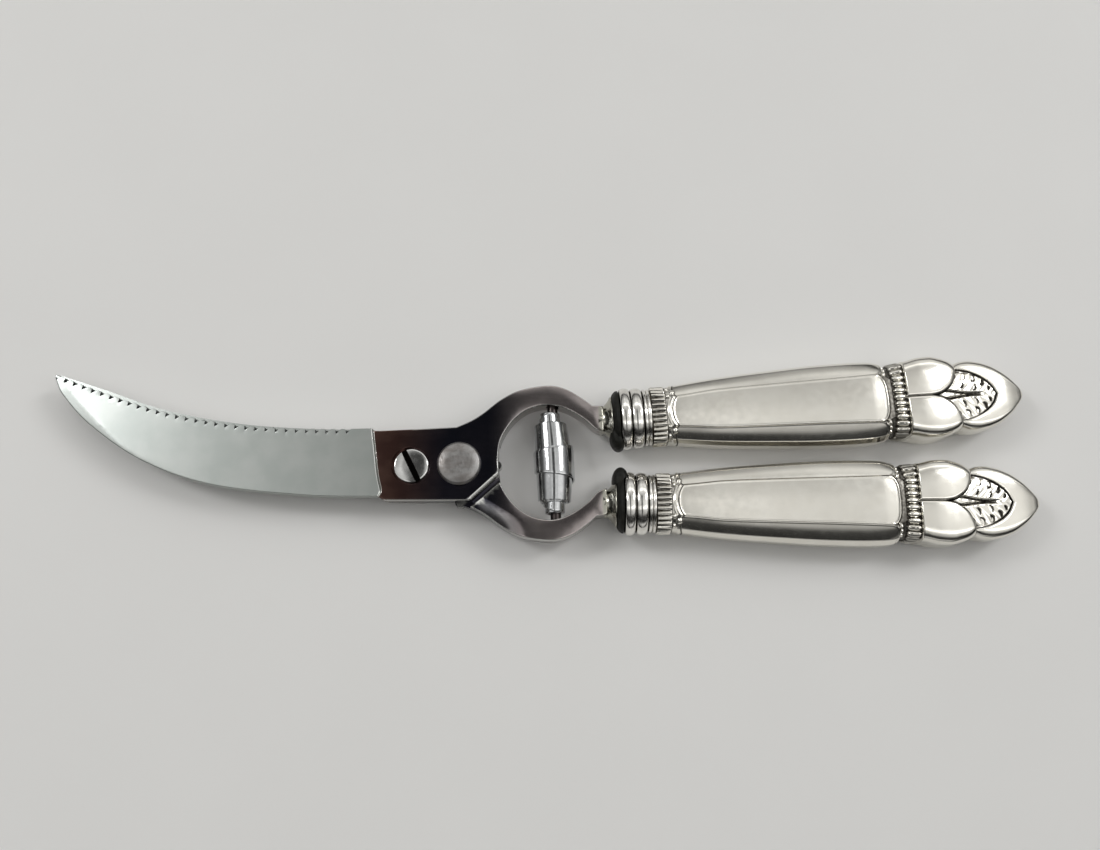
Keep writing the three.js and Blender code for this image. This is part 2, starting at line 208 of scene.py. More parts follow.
def distance_to(points, line, closed=True):
    """Each point's distance to a line, and the index of the nearest piece of it."""
    start = line if closed else line[:-1]
    piece = (np.roll(line, -1, 0) if closed else line[1:]) - start
    size = np.maximum((piece**2).sum(1), 1e-12)
    near, index = [], []
    for batch in np.array_split(points, max(1, len(points) // BATCH)):
        offset = batch[:, None] - start
        t = np.clip((offset * piece).sum(2) / size, 0, 1)
        away = np.linalg.norm(offset - t[..., None] * piece, axis=2)
        index.append(away.argmin(1))
        near.append(away.min(1))
    return np.concatenate(near), np.concatenate(index)


def inside(points, outline):
    """True for each point within a closed outline."""
    start_x, start_y = outline.T
    end_x, end_y = np.roll(outline, -1, 0).T
    rise = np.where(np.abs(end_y - start_y) < 1e-12, 1e-12, end_y - start_y)
    found = []
    for batch in np.array_split(points, max(1, len(points) // BATCH)):
        x, y = batch[:, :1], batch[:, 1:]
        spans = (start_y > y) != (end_y > y)
        found.append((spans & (x < start_x + (y - start_y) / rise * (end_x - start_x))).sum(1) % 2 == 1)
    return np.concatenate(found)


def into(points, outline):
    """Each point's distance into a closed outline, negative outside it."""
    away, _ = distance_to(points, outline)
    return np.where(inside(points, outline), away, -away)


def away_from(points, line):
    """Each point's distance to an open line."""
    return distance_to(points, line, closed=False)[0]


def bell(away, width):
    """A soft peak: 1 at no distance, and nearly 0 from twice its width on."""
    return np.exp(-((away / width) ** 2))


# ---- meshes ----


def linked(name, data):
    """A new object in the scene."""
    piece = bpy.data.objects.new(name, data)
    bpy.context.scene.collection.objects.link(piece)
    return piece


def made(points, faces, name="piece"):
    """A new object from points in millimetres."""
    mesh = bpy.data.meshes.new(name)
    mesh.from_pydata((np.asarray(points) * MM).tolist(), [], [tuple(map(int, f)) for f in faces])
    mesh.update()
    return linked(name, mesh)


def cleaned(piece, sharp=32):
    """Merges doubled points, turns every face outwards and shades it smooth up to an angle."""
    work = bmesh.new()
    work.from_mesh(piece.data)
    bmesh.ops.remove_doubles(work, verts=work.verts, dist=1e-7)
    bmesh.ops.dissolve_degenerate(work, edges=work.edges, dist=1e-8)
    bmesh.ops.triangulate(work, faces=[f for f in work.faces if len(f.verts) > 4])
    bmesh.ops.recalc_face_normals(work, faces=work.faces)
    work.to_mesh(piece.data)
    work.free()
    piece.data.shade_smooth()
    piece.data.set_sharp_from_angle(angle=math.radians(sharp))
    return piece


def moved(piece, matrix):
    """Moves a piece's mesh itself, by a matrix in millimetres."""
    in_metres = matrix.copy()
    in_metres.translation = matrix.translation * MM
    piece.data.transform(in_metres)
    return piece


def shifted(piece, x=0, y=0, z=0):
    """Shifts a piece's mesh itself, in millimetres."""
    return moved(piece, Matrix.Translation((x, y, z)))


def points_of(piece):
    """A piece's points, in millimetres."""
    points = np.empty(len(piece.data.vertices) * 3)
    piece.data.vertices.foreach_get("co", points)
    return points.reshape(-1, 3) / MM


def painted(piece, name, values):
    """Keeps a number at each of a piece's points, for its material to read."""
    tone = piece.data.attributes.new(name, "FLOAT", "POINT")
    tone.data.foreach_set("value", np.asarray(values, np.float32))


def combined(piece, other, operation):
    """Cuts other out of piece, or joins it on, and removes other."""
    change = piece.modifiers.new("combine", "BOOLEAN")
    change.object = other
    change.operation = operation
    change.solver = "EXACT"
    bpy.context.view_layer.update()
    result = piece.evaluated_get(bpy.context.evaluated_depsgraph_get())
    mesh = bpy.data.meshes.new_from_object(result)
    piece.modifiers.clear()
    piece.data = mesh
    bpy.data.objects.remove(other)
    return piece


def cut(piece, tool):
    return combined(piece, cleaned(tool), "DIFFERENCE")


def numbered(rows, cols, first=0):
    """A grid of point numbers."""
    return np.arange(first, first + rows * cols).reshape(rows, cols)


def quads(grid):
    """Faces between neighbours in a grid of point numbers."""
    return np.stack([grid[:-1, :-1], grid[:-1, 1:], grid[1:, 1:], grid[1:, :-1]], -1).reshape(-1, 4)


def skinned(rows):
    """Faces over rows of equal rings, each ring closed."""
    grid = numbered(*rows.shape[:2])
    return quads(np.c_[grid, grid[:, :1]])


def rounded(profile, radius, pieces=4):
    """A profile with each corner turned into a small arc. Corners given a third number use that radius."""
    p = [np.array(q[:2], float) for q in profile]
    radii = [q[2] if len(q) > 2 else radius for q in profile]
    line = [p[0]]
    for before, here, after, r in zip(p[:-2], p[1:-1], p[2:], radii[1:-1]):
        back, ahead = before - here, after - here
        reach_back, reach_ahead = np.linalg.norm(back), np.linalg.norm(ahead)
        reach = min(r, reach_back * 0.45, reach_ahead * 0.45)
        start, end = here + back / reach_back * reach, here + ahead / reach_ahead * reach
        t = np.linspace(0, 1, pieces + 1)[:, None]
        line.extend((1 - t) ** 2 * start + 2 * t * (1 - t) * here + t**2 * end)
    line.append(p[-1])
    return np.array(line)


def turned(profile, about="z", around=96, press=1.0):
    """A profile of (radius, height) turned about an axis: z, y or x. press flattens an x one in z."""
    profile = np.asarray(profile)
    angle = np.linspace(0, 2 * math.pi, around, endpoint=False)
    radius, height = profile[:, :1], profile[:, 1:]
    first, second = radius * np.cos(angle), radius * np.sin(angle)
    along = np.repeat(height, around, 1)
    order = {"z": (first, second, along), "y": (second, along, first), "x": (along, first, second * press)}
    rows = np.stack(order[about], -1)
    return made(rows.reshape(-1, 3), skinned(rows))


def block(rings):
    """A closed block through equal rings of points."""
    rings = np.array(rings)
    grid = numbered(*rings.shape[:2])
    return made(rings.reshape(-1, 3), [*skinned(rings), grid[0, ::-1], grid[-1]])


def prism(levels):
    """A closed block from plan outlines of equal length, one for each height."""
    return block([[(x, y, z) for x, y in outline] for z, outline in levels])


def bar(start, end, half, far_half):
    """A bar's plan outline along x, from one half width to another."""
    return [(start, -half), (end, -far_half), (end, far_half), (start, half)]


def drill(radius, low, high, about="z", around=64):
    """A round bar to cut a hole with."""
    return turned([(0, low), (radius, low), (radius, high), (0, high)], about, around)


# ---- forged plates ----

ROUND_STEPS = (0.08, 0.3, 0.62, 1.0, 1.6)  # rings inside an outline, as shares of its edge's radius
FIELD_STEP = 1.3  # between the plan points of an open face
KEEN, BLUNT = 0.06, 0.3  # the radius of an edge
HIGHLIGHT_LINE_WIDTH = 0.2  # of the painted highlight lines along the joint's edges
TANG_THICK = 3.6


def quarter_drop(away, radius):
    """How far a rounded edge has dropped at a distance from the outline."""
    short = np.clip(radius - away, 0, radius)
    return radius - np.sqrt(np.maximum(radius**2 - short**2, 0))


def slab(outline, radii, top, bottom, extra):
    """A plate with a plan outline, rounded edges, and a height above and below each plan point. extra
    are more plan points, where the height or the painted light and shade change quickly."""
    ahead = np.roll(outline, -1, 0) - np.roll(outline, 1, 0)
    ahead /= np.linalg.norm(ahead, axis=1)[:, None]
    x, y = outline.T
    turn = np.sign((x * np.roll(y, -1) - np.roll(x, -1) * y).sum())
    inward = np.stack([-ahead[:, 1], ahead[:, 0]], 1) * turn
    rings = []
    for share in ROUND_STEPS:
        offset = share * radii
        ring = outline + inward * offset[:, None]
        away, _ = distance_to(ring, outline)
        rings.append(ring[inside(ring, outline) & (away > 0.8 * offset)])
    axes = [np.arange(low, high, FIELD_STEP) for low, high in zip(outline.min(0), outline.max(0))]
    field = np.stack(np.meshgrid(*axes, indexing="ij"), -1).reshape(-1, 2)
    away, nearest = distance_to(field, outline)
    field = field[inside(field, outline) & (away > ROUND_STEPS[-1] * radii[nearest] + 0.3 * FIELD_STEP)]
    inner = np.vstack([*rings, extra[inside(extra, outline)], field])
    inner = inner[np.unique(np.round(inner / 0.03).astype(int), axis=0, return_index=True)[1]]
    points = [Vector(p) for p in np.vstack([outline, inner])]
    count = len(outline)
    border = [(i, (i + 1) % count) for i in range(count)]
    found = geometry.delaunay_2d_cdt(points, border, [], 0, 1e-5)
    plan = np.array([tuple(v) for v in found[0]])
    triangles = np.array([f for f in found[2] if len(f) == 3])
    triangles = triangles[inside(plan[triangles].mean(1), outline)]
    away, nearest = distance_to(plan, outline)
    drop = quarter_drop(away, radii[nearest])
    high_z = top(plan) - drop
    low_z = np.minimum(bottom(plan) + drop, high_z - 0.05)
    corners = plan[triangles]
    first, second = corners[:, 1] - corners[:, 0], corners[:, 2] - corners[:, 0]
    facing = first[:, 0] * second[:, 1] - first[:, 1] * second[:, 0]
    triangles[facing < 0] = triangles[facing < 0][:, ::-1]
    sides = np.vstack([triangles[:, [0, 1]], triangles[:, [1, 2]], triangles[:, [2, 0]]])
    known = {tuple(side) for side in sides.tolist()}
    total = len(plan)
    walls = [(a, a + total, b + total, b) for a, b in known if (b, a) not in known]
    faces = [*triangles.tolist(), *(triangles[:, ::-1] + total).tolist(), *walls]
    return made(np.vstack([np.c_[plan, high_z], np.c_[plan, low_z]]), faces)


def notched_edge():
    """The serrated edge: each notch drops steeply on its tip side and rises towards the joint."""
    edge = spline(INNER_EDGE, 0.3)
    notch = [(-0.12, 0), (0.05, 0.25), (0.2, 1), (0.42, 0.97), (NOTCH_WIDTH * 0.6, 0.5), (NOTCH_WIDTH, 0)]
    starts = NOTCH_START + NOTCH_PITCH * np.arange(NOTCHES)
    notched = [(start + along, depth * NOTCH_DEPTH) for start in starts for along, depth in notch]
    rest = [(along, 0) for along in np.linspace(notched[-1][0] + 0.5, lengths(edge)[-1], 6)]
    distances, depths = np.array([(0, 0), *notched, *rest]).T
    place, across = walked(edge, distances)
    return place + across * depths[:, None]


def edge_radii(outline, edge):
    """The edges' rounding at each outline point: keen along a cutting edge, blunt elsewhere."""
    return np.where(away_from(outline, edge) < NOTCH_DEPTH + 0.1, KEEN, BLUNT)


STEP_RUN = 0.7  # how far the step up from blade to plate takes
STEP_LINE = [(-9.9, -9.3), (-8.9, -7.4), (-8.9, -6), (-9.7, -2.3), (-10.6, 5.5), (-11.3, 11.5)]


def half_height(plan, side):
    """The outer face's height above the lap plane: blade, step and plate. side is 1 on the serrated
    half, and -1 on the plain half, which is turned over."""
    rise = smooth(past_step(plan, side) / STEP_RUN)
    return BLADE_THICK + (HALF_THICK - BLADE_THICK) * rise


def past_step(plan, side):
    """How far each plan point lies beyond the foot of the step, towards the joint."""
    line = spline(STEP_LINE, 0.4)
    return plan[:, 0] - np.interp(plan[:, 1] * side, line[:, 1], line[:, 0])


def crown(plan, outline):
    """How far the bow's faces are rounded off towards its edges."""
    away, _ = distance_to(plan, outline)
    return 0.16 * smooth((plan[:, 0] - 24) / 8) * (1 - np.clip(away / 2.6, 0, 1)) ** 2


def bevel(plan, line, width, drop):
    """How far a face falls over a bevel along a line."""
    return drop * np.clip(1 - away_from(plan, line) / width, 0, 1)


def beside(line, offsets, step=0.5):
    """Points along both sides of a line."""
    place, across = walked(line, np.arange(0.3, lengths(line)[-1] - 0.3, step))
    return np.vstack([place + across * offset for offset in offsets])


def lap_cutter(side):
    """The block that takes the other half's room out of a forging: side 1 below the lap plane."""
    outer, inner = SHOULDER * [1, side]
    along = (outer - inner) / np.linalg.norm(outer - inner)
    away = np.array([-along[1], along[0]]) * side
    away = away if away[0] > 0 else -away
    levels = []
    for depth, push in [(-LAP_GAP, 0), (HALF_THICK - 0.42, 0), (HALF_THICK + 0.02, 0.42), (12, 0.42)]:
        start, end = outer + along * 9 + away * push, inner - along * 14 + away * push
        corners = [tuple(start), (-125, 45 * side), (-125, -45 * side), (50, -45 * side), tuple(end)]
        levels.append((-side * depth, corners))
    return prism(levels)


def neck_and_tang(side):
    """The collar's thin bead, the hollow flare that meets the buffer, and the tang inside the handle."""
    end = -BUFFER_LENGTH - 0.2
    neck = COLLAR_R
    profile = [
        (0, end - 4.6), (neck - 0.3, end - 4.6), (neck, end - 4.3), (neck, end - 3.35),
        (neck + 0.35, end - 3.2), (neck + 0.35, end - 2.75), (neck + 0.1, end - 2.6),
        (neck + 0.5, end - 2.0, 0.8), (neck + 1.6, end - 1.0, 1), (FLARE_R + 0.4, end - 0.3, 0.4),
        (FLARE_R + 0.5, end), (0, end),
    ]
    flare = cleaned(turned(rounded(profile, 0.14), "x", 96, OVAL))
    outline = bar(-3, 62, 2.4, 1.3)
    tang = prism([(-TANG_THICK / 2, outline), (TANG_THICK / 2, outline)])
    combined(flare, cleaned(tang), "UNION")
    return moved(flare, handle_place(side, lap=False))


def handle_place(side, lap=True):
    """From the handle frame to the lap frame, or with lap to the row frame: side 1 above, -1 below."""
    lift = Matrix.Translation((0, 0, LAP_Z if lap else 0))
    turn = Matrix.Identity(4) if side > 0 else Matrix.Rotation(math.pi, 4, "X")
    lean = Matrix.Translation((*MOUTH, 0)) @ Matrix.Rotation(math.radians(SPLAY), 4, "Z")
    return lift @ turn @ lean


def joint_outline(side):
    """The plate and bow's outline from the plate's near end round the bow to its far end."""
    flip = (lambda line: line) if side > 0 else mirrored
    return [
        straight(flip([(1, 10.4), (12.8, 10.7)])),
        spline(flip(BOW_OUTSIDE)),
        straight(flip([(51.3, 15.8), (54.3, 15.6), (54.3, 8.1)])),
        spline(flip(BOW_INNER)),
        straight(flip([(24.3, 1), (24.4, -3.7), (16.9, -10.3)])),
    ]


PLATE_DIAGONAL = np.array([(24.4, -3.7), (16.9, -10.3)])  # the front plate's free corner
TIP = (-102.0, 29.8)
HOLLOW_GRIND = 0.04  # how deep the plain blade's face is ground where the serrated one covers it


def serrated_forging():
    """The front half: notched blade, plate with the screw's well and the button's hole, and bow."""
    spine = spline([*OUTER_EDGE, TIP, INNER_EDGE[0]])
    outline = joined(
        notched_edge(), straight([(-11.2, 11.2), (-10.3, 10.2), (1, 10.4)]), *joint_outline(1),
        straight([(16.9, -10.3), (-7.4, -9.6), (-8.6, -8.8), (-9, -8.4)]), spine,
    )

    def top(plan):
        from_tip = plan[:, 0] - TIP[0]
        wide = 0.9 + 1.9 * smooth((22 - from_tip) / 14)
        tip_bevel = bevel(plan, spine, wide, 0.13 * wide) * smooth((42 - from_tip) / 25)
        corner = bevel(plan, PLATE_DIAGONAL, 1.1, 0.5)
        return half_height(plan, 1) - tip_bevel - corner - crown(plan, outline)

    extra = np.vstack([
        beside(spline(STEP_LINE, 0.4), [*np.arange(-1, 6) * 0.12, STEP_RUN, STEP_RUN + 0.12], 0.35),
        beside(PLATE_DIAGONAL, (0.6, 1.1, 1.15), 0.4), beside(spine, (0.95, 1.9, 2.75), 0.7),
    ])
    radii = edge_radii(outline, spline(INNER_EDGE))
    half = slab(outline, radii, top, lambda plan: crown(plan, outline) - HALF_THICK, extra)
    cut(cleaned(half), lap_cutter(1))
    combined(half, neck_and_tang(1), "UNION")
    floor = HALF_THICK - COUNTERBORE_DEPTH
    well = [
        (0, -1), (SHANK_R + RUN_GAP, -1), (SHANK_R + RUN_GAP, floor), (COUNTERBORE_R, floor),
        (COUNTERBORE_R, HALF_THICK - 0.12), (COUNTERBORE_R + 0.5, HALF_THICK + 0.38),
        (0, HALF_THICK + 0.38),
    ]
    cut(half, turned(well))
    return cut(half, shifted(drill(BUTTON_SHANK_R + RUN_GAP, -1, 5), *BUTTON[:2]))


def guide_slot():
    """The arc slot that the button's shank swings in as the shears open."""
    reach = BUTTON[0]
    half_width = BUTTON_SHANK_R + 0.4
    end = math.radians(OPENING)

    def arc(cx, cy, radius, start, stop):
        return [(cx + radius * math.cos(a), cy + radius * math.sin(a)) for a in np.linspace(start, stop, 20)]

    outline = [
        *arc(0, 0, reach + half_width, 0, end),
        *arc(reach * math.cos(end), reach * math.sin(end), half_width, end, end + math.pi)[1:],
        *arc(0, 0, reach - half_width, end, 0)[1:],
        *arc(reach, 0, half_width, math.pi, 2 * math.pi)[1:-1],
    ]
    return prism([(-HALF_THICK - 1, outline), (1, outline)])


def plain_forging():
    """The rear half: plain blade, plate with the screw's thread and the arc slot, and bow."""
    edge = spline(PLAIN_EDGE)
    corner = spline([(14.6, -11.3), (13.7, -11.75), (12.7, -11.6), (12.1, -10.9), (11.9, -9.9)], 0.3)
    throat = spline([(24.3, -1.3), (24.9, -0.9), (25.2, -0.1), (24.9, 0.7), (24.3, 1.2)], 0.3)
    outline = joined(
        edge, spline(PLAIN_BACK),
        straight([(-11.2, 11.5), (-9.4, 10.1), (-4, 10), (16.9, 10.3), (24.4, 3.7)]), throat[::-1],
        *[line[::-1] for line in joint_outline(-1)[1:-1][::-1]], corner,
        straight([(11.5, -9.8), (1, -9.7), (-7, -9.2)]), straight([(-7.6, -8.6), (-8.4, -3.4), (-9, -3)]),
    )
    facet = np.array([(19.8, -9.4), (33.5, -18.3)])

    def top(plan):
        past_facet = (plan[:, 1] - facet[0, 1]) - (plan[:, 0] - facet[0, 0]) * -0.65
        sloped = 0.16 * np.clip(-past_facet, 0, 3.2) * smooth((32 - plan[:, 0]) / 6)
        return HALF_THICK - crown(plan, outline) - sloped

    def bottom(plan):
        ground = bevel(plan, edge, 3, 1.35) * smooth((-9 - plan[:, 0]) / 6)
        return -(half_height(plan, -1) - ground - crown(plan, outline))

    extra = np.vstack([
        beside(spline(INNER_EDGE), (-0.06, 0.06), 0.4), beside(facet, (-0.03, 0.03), 0.4),
        beside(SHOULDER * [1, -1], (0.3, 0.5), 0.4),
    ])
    half = cleaned(slab(outline, edge_radii(outline, edge), top, bottom, extra))
    cut(half, lap_cutter(-1))
    covered = joined(
        spline(INNER_EDGE), straight([(-11.2, 11.2), (-11.2, -8.2)]),
        spline([*OUTER_EDGE[1:], INNER_EDGE[0]]),
    )
    cut(half, prism([(-LAP_GAP - HOLLOW_GRIND, covered), (1, covered)]))
    combined(half, neck_and_tang(-1), "UNION")
    cut(half, drill(THREAD_R + RUN_GAP, -6, 1))
    return cut(half, guide_slot())


def paint_shade_and_highlights(half, side):
    """Paints shade (on the notches' walls, and on the plain blade's face under the serrated one) and
    paints highlights: lines along the joint's edges, the step up from the blade, the small facets and the
    stops."""
    points = points_of(half)
    plan, z = points[:, :2], points[:, 2]
    x, y = plan.T
    # the distance to the lines along the joint's edges that get a painted highlight
    from_highlight_line = np.minimum.reduce([away_from(plan, line) for line in joint_outline(side)])
    if side > 0:
        # painted shade on the notches' walls
        shaded = (away_from(plan, notched_edge()) < 0.02) & (away_from(plan, spline(INNER_EDGE)) > 0.1)
        from_highlight_line = np.minimum(from_highlight_line, away_from(plan, straight([(16.9, -10.3), (-7.4, -9.6)])))
        # painted highlight on the bevel at the front plate's free corner
        painted_highlight = 0.75 * (away_from(plan, PLATE_DIAGONAL) < 1.12)
    else:
        # painted shade on the plain blade's ground face, under the serrated blade
        shaded = 0.78 * (np.abs(z + LAP_GAP + HOLLOW_GRIND) < 0.015)
        # painted highlight line along the chamfer beside the shoulder
        from_chamfer = np.abs(away_from(plan, SHOULDER * [1, -1]) - 0.42)
        from_highlight_line = np.minimum(from_highlight_line, np.where(z > 2.6, from_chamfer, np.inf))
        # painted highlights on the sloped facet beside the shoulder and on two small corners at the stops
        slope = np.clip((HALF_THICK - z - 0.03) / 0.25, 0, 1)
        stops = np.minimum(np.hypot(x - 13.2, y + 11.6), np.hypot(x - 25, y))
        painted_highlight = np.maximum(0.2 * slope * (z > 2.3) * (x > 19) * smooth((31 - x) / 4), 0.9 * (stops < 1))
    from_step = past_step(plan, side)
    # painted highlight along the step up from the blade to the plate
    step_highlight = (from_step > -0.05) & (from_step < STEP_RUN + 0.08) & (side > 0) & (z > 2.2)
    # painted highlight lines along the joint's edges
    edge_highlight = (from_highlight_line < HIGHLIGHT_LINE_WIDTH) & (z > 2.4) & (x > -9) & (x < 52.5)
    painted(half, "recess", shaded)
    painted(half, "painted_highlight", np.maximum.reduce([painted_highlight, edge_highlight, step_highlight]))
    painted(half, "plate", smooth((from_step - 0.02) / 0.08))


def stud_hole(half, side):
    """The blind hole in a bow's inner wall for the spring's stud."""
    return cut(half, shifted(drill(STUD_R + 0.3, -3, 3, "y", 48), SPRING[0], side * (BOW_INSIDE - 1)))


def forgings():
    """Both steel halves: the serrated one, then the plain one."""
    halves = [serrated_forging(), plain_forging()]
    for half, side in zip(halves, (1, -1)):
        paint_shade_and_highlights(cleaned(stud_hole(half, side)), side)
        shifted(half, z=LAP_Z)
    return halves


# ---- pivot and lock ----


def pivot_screw():
    """The screw: thread, shank, and a low round head with a worn slot."""
    bottom, top = heights("pivot_screw")
    seat = HALF_THICK - COUNTERBORE_DEPTH + 0.05
    head_r = radius_of("pivot_screw")
    profile = [
        (0, bottom), (THREAD_R - 0.3, bottom), (THREAD_R, bottom + 0.3), (THREAD_R, LAP_GAP),
        (SHANK_R, LAP_GAP), (SHANK_R, seat), (head_r, seat), (head_r, top - 0.42),
        (head_r - 0.35, top - 0.2, 0.3), (head_r * 0.6, top - 0.06, 2), (0, top),
    ]
    screw = cleaned(turned(rounded(profile, 0.1)), 28)
    levels = []
    for z, wider in ((top - SLOT_DEPTH, -0.05), (top - 0.25, 0), (top + 0.02, 0.12), (top + 1, 0.12)):
        half = SLOT_WIDTH / 2 + wider
        levels.append((z, bar(-head_r - 2, head_r + 2, half, half)))
    cut(screw, moved(prism(levels), Matrix.Rotation(math.radians(SLOT_ANGLE), 4, "Z")))
    return cleaned(shifted(screw, *PIVOT[:2], LAP_Z), 28)


def back_ring(node, bore, inner_edge, outer_edge, rounding):
    """A round piece on the back, round a bore, with chamfered edges below."""
    low, high = heights(node)
    radius = radius_of(node)
    across, up = outer_edge
    profile = [
        (bore, high), (bore, low + inner_edge), (bore + 0.3, low), (radius - across, low),
        (radius, low + up), (radius, high), (bore, high),
    ]
    return turned(rounded(profile, rounding))


def pivot_nut():
    """The screw's round nut, with two notches for a key."""
    nut = cleaned(back_ring("pivot_nut", THREAD_R + RUN_GAP, 0.3, (0.5, 0.45), 0.12), 28)
    low, _ = heights("pivot_nut")
    outline = bar(3.4, 6, 0.7, 0.7)
    for turn in (0, math.pi):
        notch = prism([(low - 1, outline), (low + 1, outline)])
        cut(nut, moved(notch, Matrix.Rotation(turn, 4, "Z")))
    return cleaned(shifted(nut, *PIVOT[:2], LAP_Z), 28)


def lock_button():
    """The round button on its shank: a flat crown that falls to a rounded rim."""
    foot, top = heights("lock_button")
    low = HALF_THICK + 0.1
    radius = radius_of("lock_button")
    profile = [
        (0, foot), (BUTTON_SHANK_R - 0.2, foot), (BUTTON_SHANK_R, foot + 0.2), (BUTTON_SHANK_R, low),
        (radius - 0.2, low), (radius, low + 0.2), (radius, low + 0.75, 0.25),
        (radius - 0.45, low + 1.35, 0.6), (radius - 2.2, top - 0.1, 1.2), (0, top),
    ]
    button = turned(rounded(profile, 0.15, 6))
    return cleaned(shifted(button, *BUTTON[:2], LAP_Z))


def lock_cap():
    """The cap on the back end of the button's shank."""
    cap = back_ring("lock_button_cap", BUTTON_SHANK_R + RUN_GAP, 0.15, (0.7, 0.55), 0.2)
    return cleaned(shifted(cap, *BUTTON[:2], LAP_Z))


# ---- spring ----

STRIP_THICK = 0.5
STRIP_LIP = 0.16  # the rounding of its edges
# at these turns of the roll, from its outer end: the strip's width, its radius and how its ends narrow
STRIP_TURNS = [-0.4, -0.2, 0, 0.25, 0.5, 0.75, 1, 1.5, 2, 2.9, 3.25, 3.6, 4.6]
STRIP_WIDTHS = [1.5, 4.0, 5.9, 7.9, 9.7, 16.0, 21.7, 22.6, 22.8, 23.0, 28.4, 28.8, 28.8]
STRIP_RADII = [5.75, 5.74, 5.72, 5.7, 5.66, 5.4, 5.16, 5.0, 4.6, 4.0, 3.2, 2.8, 2.4]
STRIP_TAPER = [0, 0, 0, 0, 0, 0.04, 0.07, 0.07, 0.08, 0.09, 0, 0, 0]


def strip_spring():
    """A flat strip rolled up from its wide end, so that it steps up to its narrow outer turn."""
    turn = np.arange(STRIP_TURNS[0], STRIP_TURNS[-1], 1 / 56)
    width = np.interp(turn, STRIP_TURNS, STRIP_WIDTHS)
    radius = np.interp(turn, STRIP_TURNS, STRIP_RADII) - STRIP_THICK / 2
    taper = np.interp(turn, STRIP_TURNS, STRIP_TAPER)
    across = np.array([-1, -0.985, -0.95, -0.75, -0.5, -0.25, 0, 0.25, 0.5, 0.75, 0.95, 0.985, 1])
    rows = []
    for angle, w, full, lean in zip(2 * math.pi * turn, width, radius, taper):
        y = across * (w / 2)
        r = full - lean * np.clip(np.abs(y) - 4, 0, None)
        edge = np.clip((w / 2 - np.abs(y)) / STRIP_LIP, 0, 1)
        half = STRIP_THICK / 2 * np.sqrt(np.clip(1 - (1 - edge) ** 2, 0.12, 1))
        sag = -0.0032 * y**2 - 0.02 * y
        faces_at = [(r + half, 1), (r - half, -1)]
        rows.append(np.vstack([
            np.stack([sag - at * math.cos(angle), y, at * math.sin(angle)], 1)[::way] for at, way in faces_at
        ]))
    rows = np.array(rows)
    faces = list(skinned(rows))
    for ring, way in ((numbered(*rows.shape[:2])[0], 1), (numbered(*rows.shape[:2])[-1], -1)):
        for i in range(len(across) - 1):
            faces.append((ring[i], ring[i + 1], ring[-2 - i], ring[-1 - i])[::way])
    return cleaned(shifted(made(rows.reshape(-1, 3), faces), SPRING[0], 0, LAP_Z), 40)


def spring_stud(side):
    """The peg in a bow's inner wall that holds an end of the spring."""
    tip, foot = BOW_INSIDE - 4.4, BOW_INSIDE + 1.7
    profile = [
        (0, tip), (STUD_R - 0.4, tip), (STUD_R, tip + 0.5), (STUD_R, foot - 0.2), (STUD_R - 0.2, foot),
        (0, foot),
    ]
    stud = shifted(turned(rounded(profile, 0.2), "y", 48), SPRING[0])
    turn = Matrix.Identity(4) if side > 0 else Matrix.Rotation(math.pi, 4, "X")
    return cleaned(moved(stud, Matrix.Translation((0, 0, LAP_Z)) @ turn))


# ---- handles (handle frame; s is the distance from the handle's tip, negative towards the mouth) ----

PANEL_END = -40.6  # the panel's far end, on the middle line
BAND = (-38.9, -35.2)
REEDS = (-107.1, -103.1)
REED_PITCH = 1.42
BEAD_PITCH = 1.9
NOTCH_S = -19.9  # the notch between lobes and leaf
PARTING = 0.02  # half of the seam between the two shells
CORE_R = 6.2
LEAF_DEPTH = 1.0
LOBES_PART = -28.2  # where the two lobes part on the middle line
FADE_START = -34.4  # past here the relief fades towards the parting line
CRESCENT_TURN, CRESCENT_HALF = math.radians(-22.5), math.radians(57.5)  # an arc's middle and half

# at places s: the handle's half width, its half height, and how far the panel's ridge is from the middle
HALF_WIDTH = [
    (-106.9, 8.1), (-102.8, 8.15), (-100.5, 8.5), (-88, 10.05), (-73, 11.2), (-60, 11.95), (-50, 12.15),
    (-44.5, 12.0), (-42, 11.6), (-40.9, 11.0), (-40.2, 10.4), (-39.5, 10.25), (-39.2, 10.5), (-35.2, 10.5),
    (-34.9, 10.4), (-33, 11.1), (-30, 11.75), (-27.2, 11.9), (-24.2, 11.3), (-21.7, 10.35), (-20.3, 9.5),
    (NOTCH_S, 9.35), (-19.2, 9.65), (-17.5, 10.15), (-15.6, 10.3), (-12.5, 9.85), (-9.2, 8.75), (-6.4, 7.1),
    (-4.2, 5.4), (-2.4, 3.5), (-1.1, 1.9), (-0.3, 0.5),
]
HALF_HEIGHT = [
    (-106.9, 5.8), (-102.8, 5.8), (-101, 5.9), (-88, 6.1), (-73, 6.4), (-58, 6.6), (-46, 6.6), (-42, 6.45),
    (-40, 6.3), (-39, 6.2), (-35, 6.15), (-34, 6.2), (-30.5, 6.3), (-26.5, 6.2), (-22.5, 5.75), (-19.9, 5.3),
    (-16, 5.0), (-12, 4.6), (-9, 4.15), (-6, 3.6), (-3, 2.8), (-1.1, 2.1), (-0.3, 1.3),
]
RIDGE = [
    (-106.9, 5.2), (-102.5, 4.6), (-101, 4.1), (-88, 5.2), (-73, 5.7), (-58, 6.1), (-48, 6.4), (-42, 6.6),
    (-40, 6.2), (-39, 5.6), (-34, 5.0), (-28, 5.2), (-18, 4.8), (-10, 4.2), (-4, 2.6), (-0.3, 0.3),
]

# half outlines in plan, at s, t
LOBE = [
    (LOBES_PART, 0.0), (-25.7, 0.5), (-23.4, 1.8), (-21.6, 3.6), (-20.5, 5.7), (-20.0, 7.7),
    (-20.1, 9.5), (-20.4, 14),
]
LEAF_EDGE = [(-21, 7.6), (-18.4, 7.3), (-15.6, 6.5), (-12.4, 4.9), (-10.1, 2.8), (-8.6, 0)]


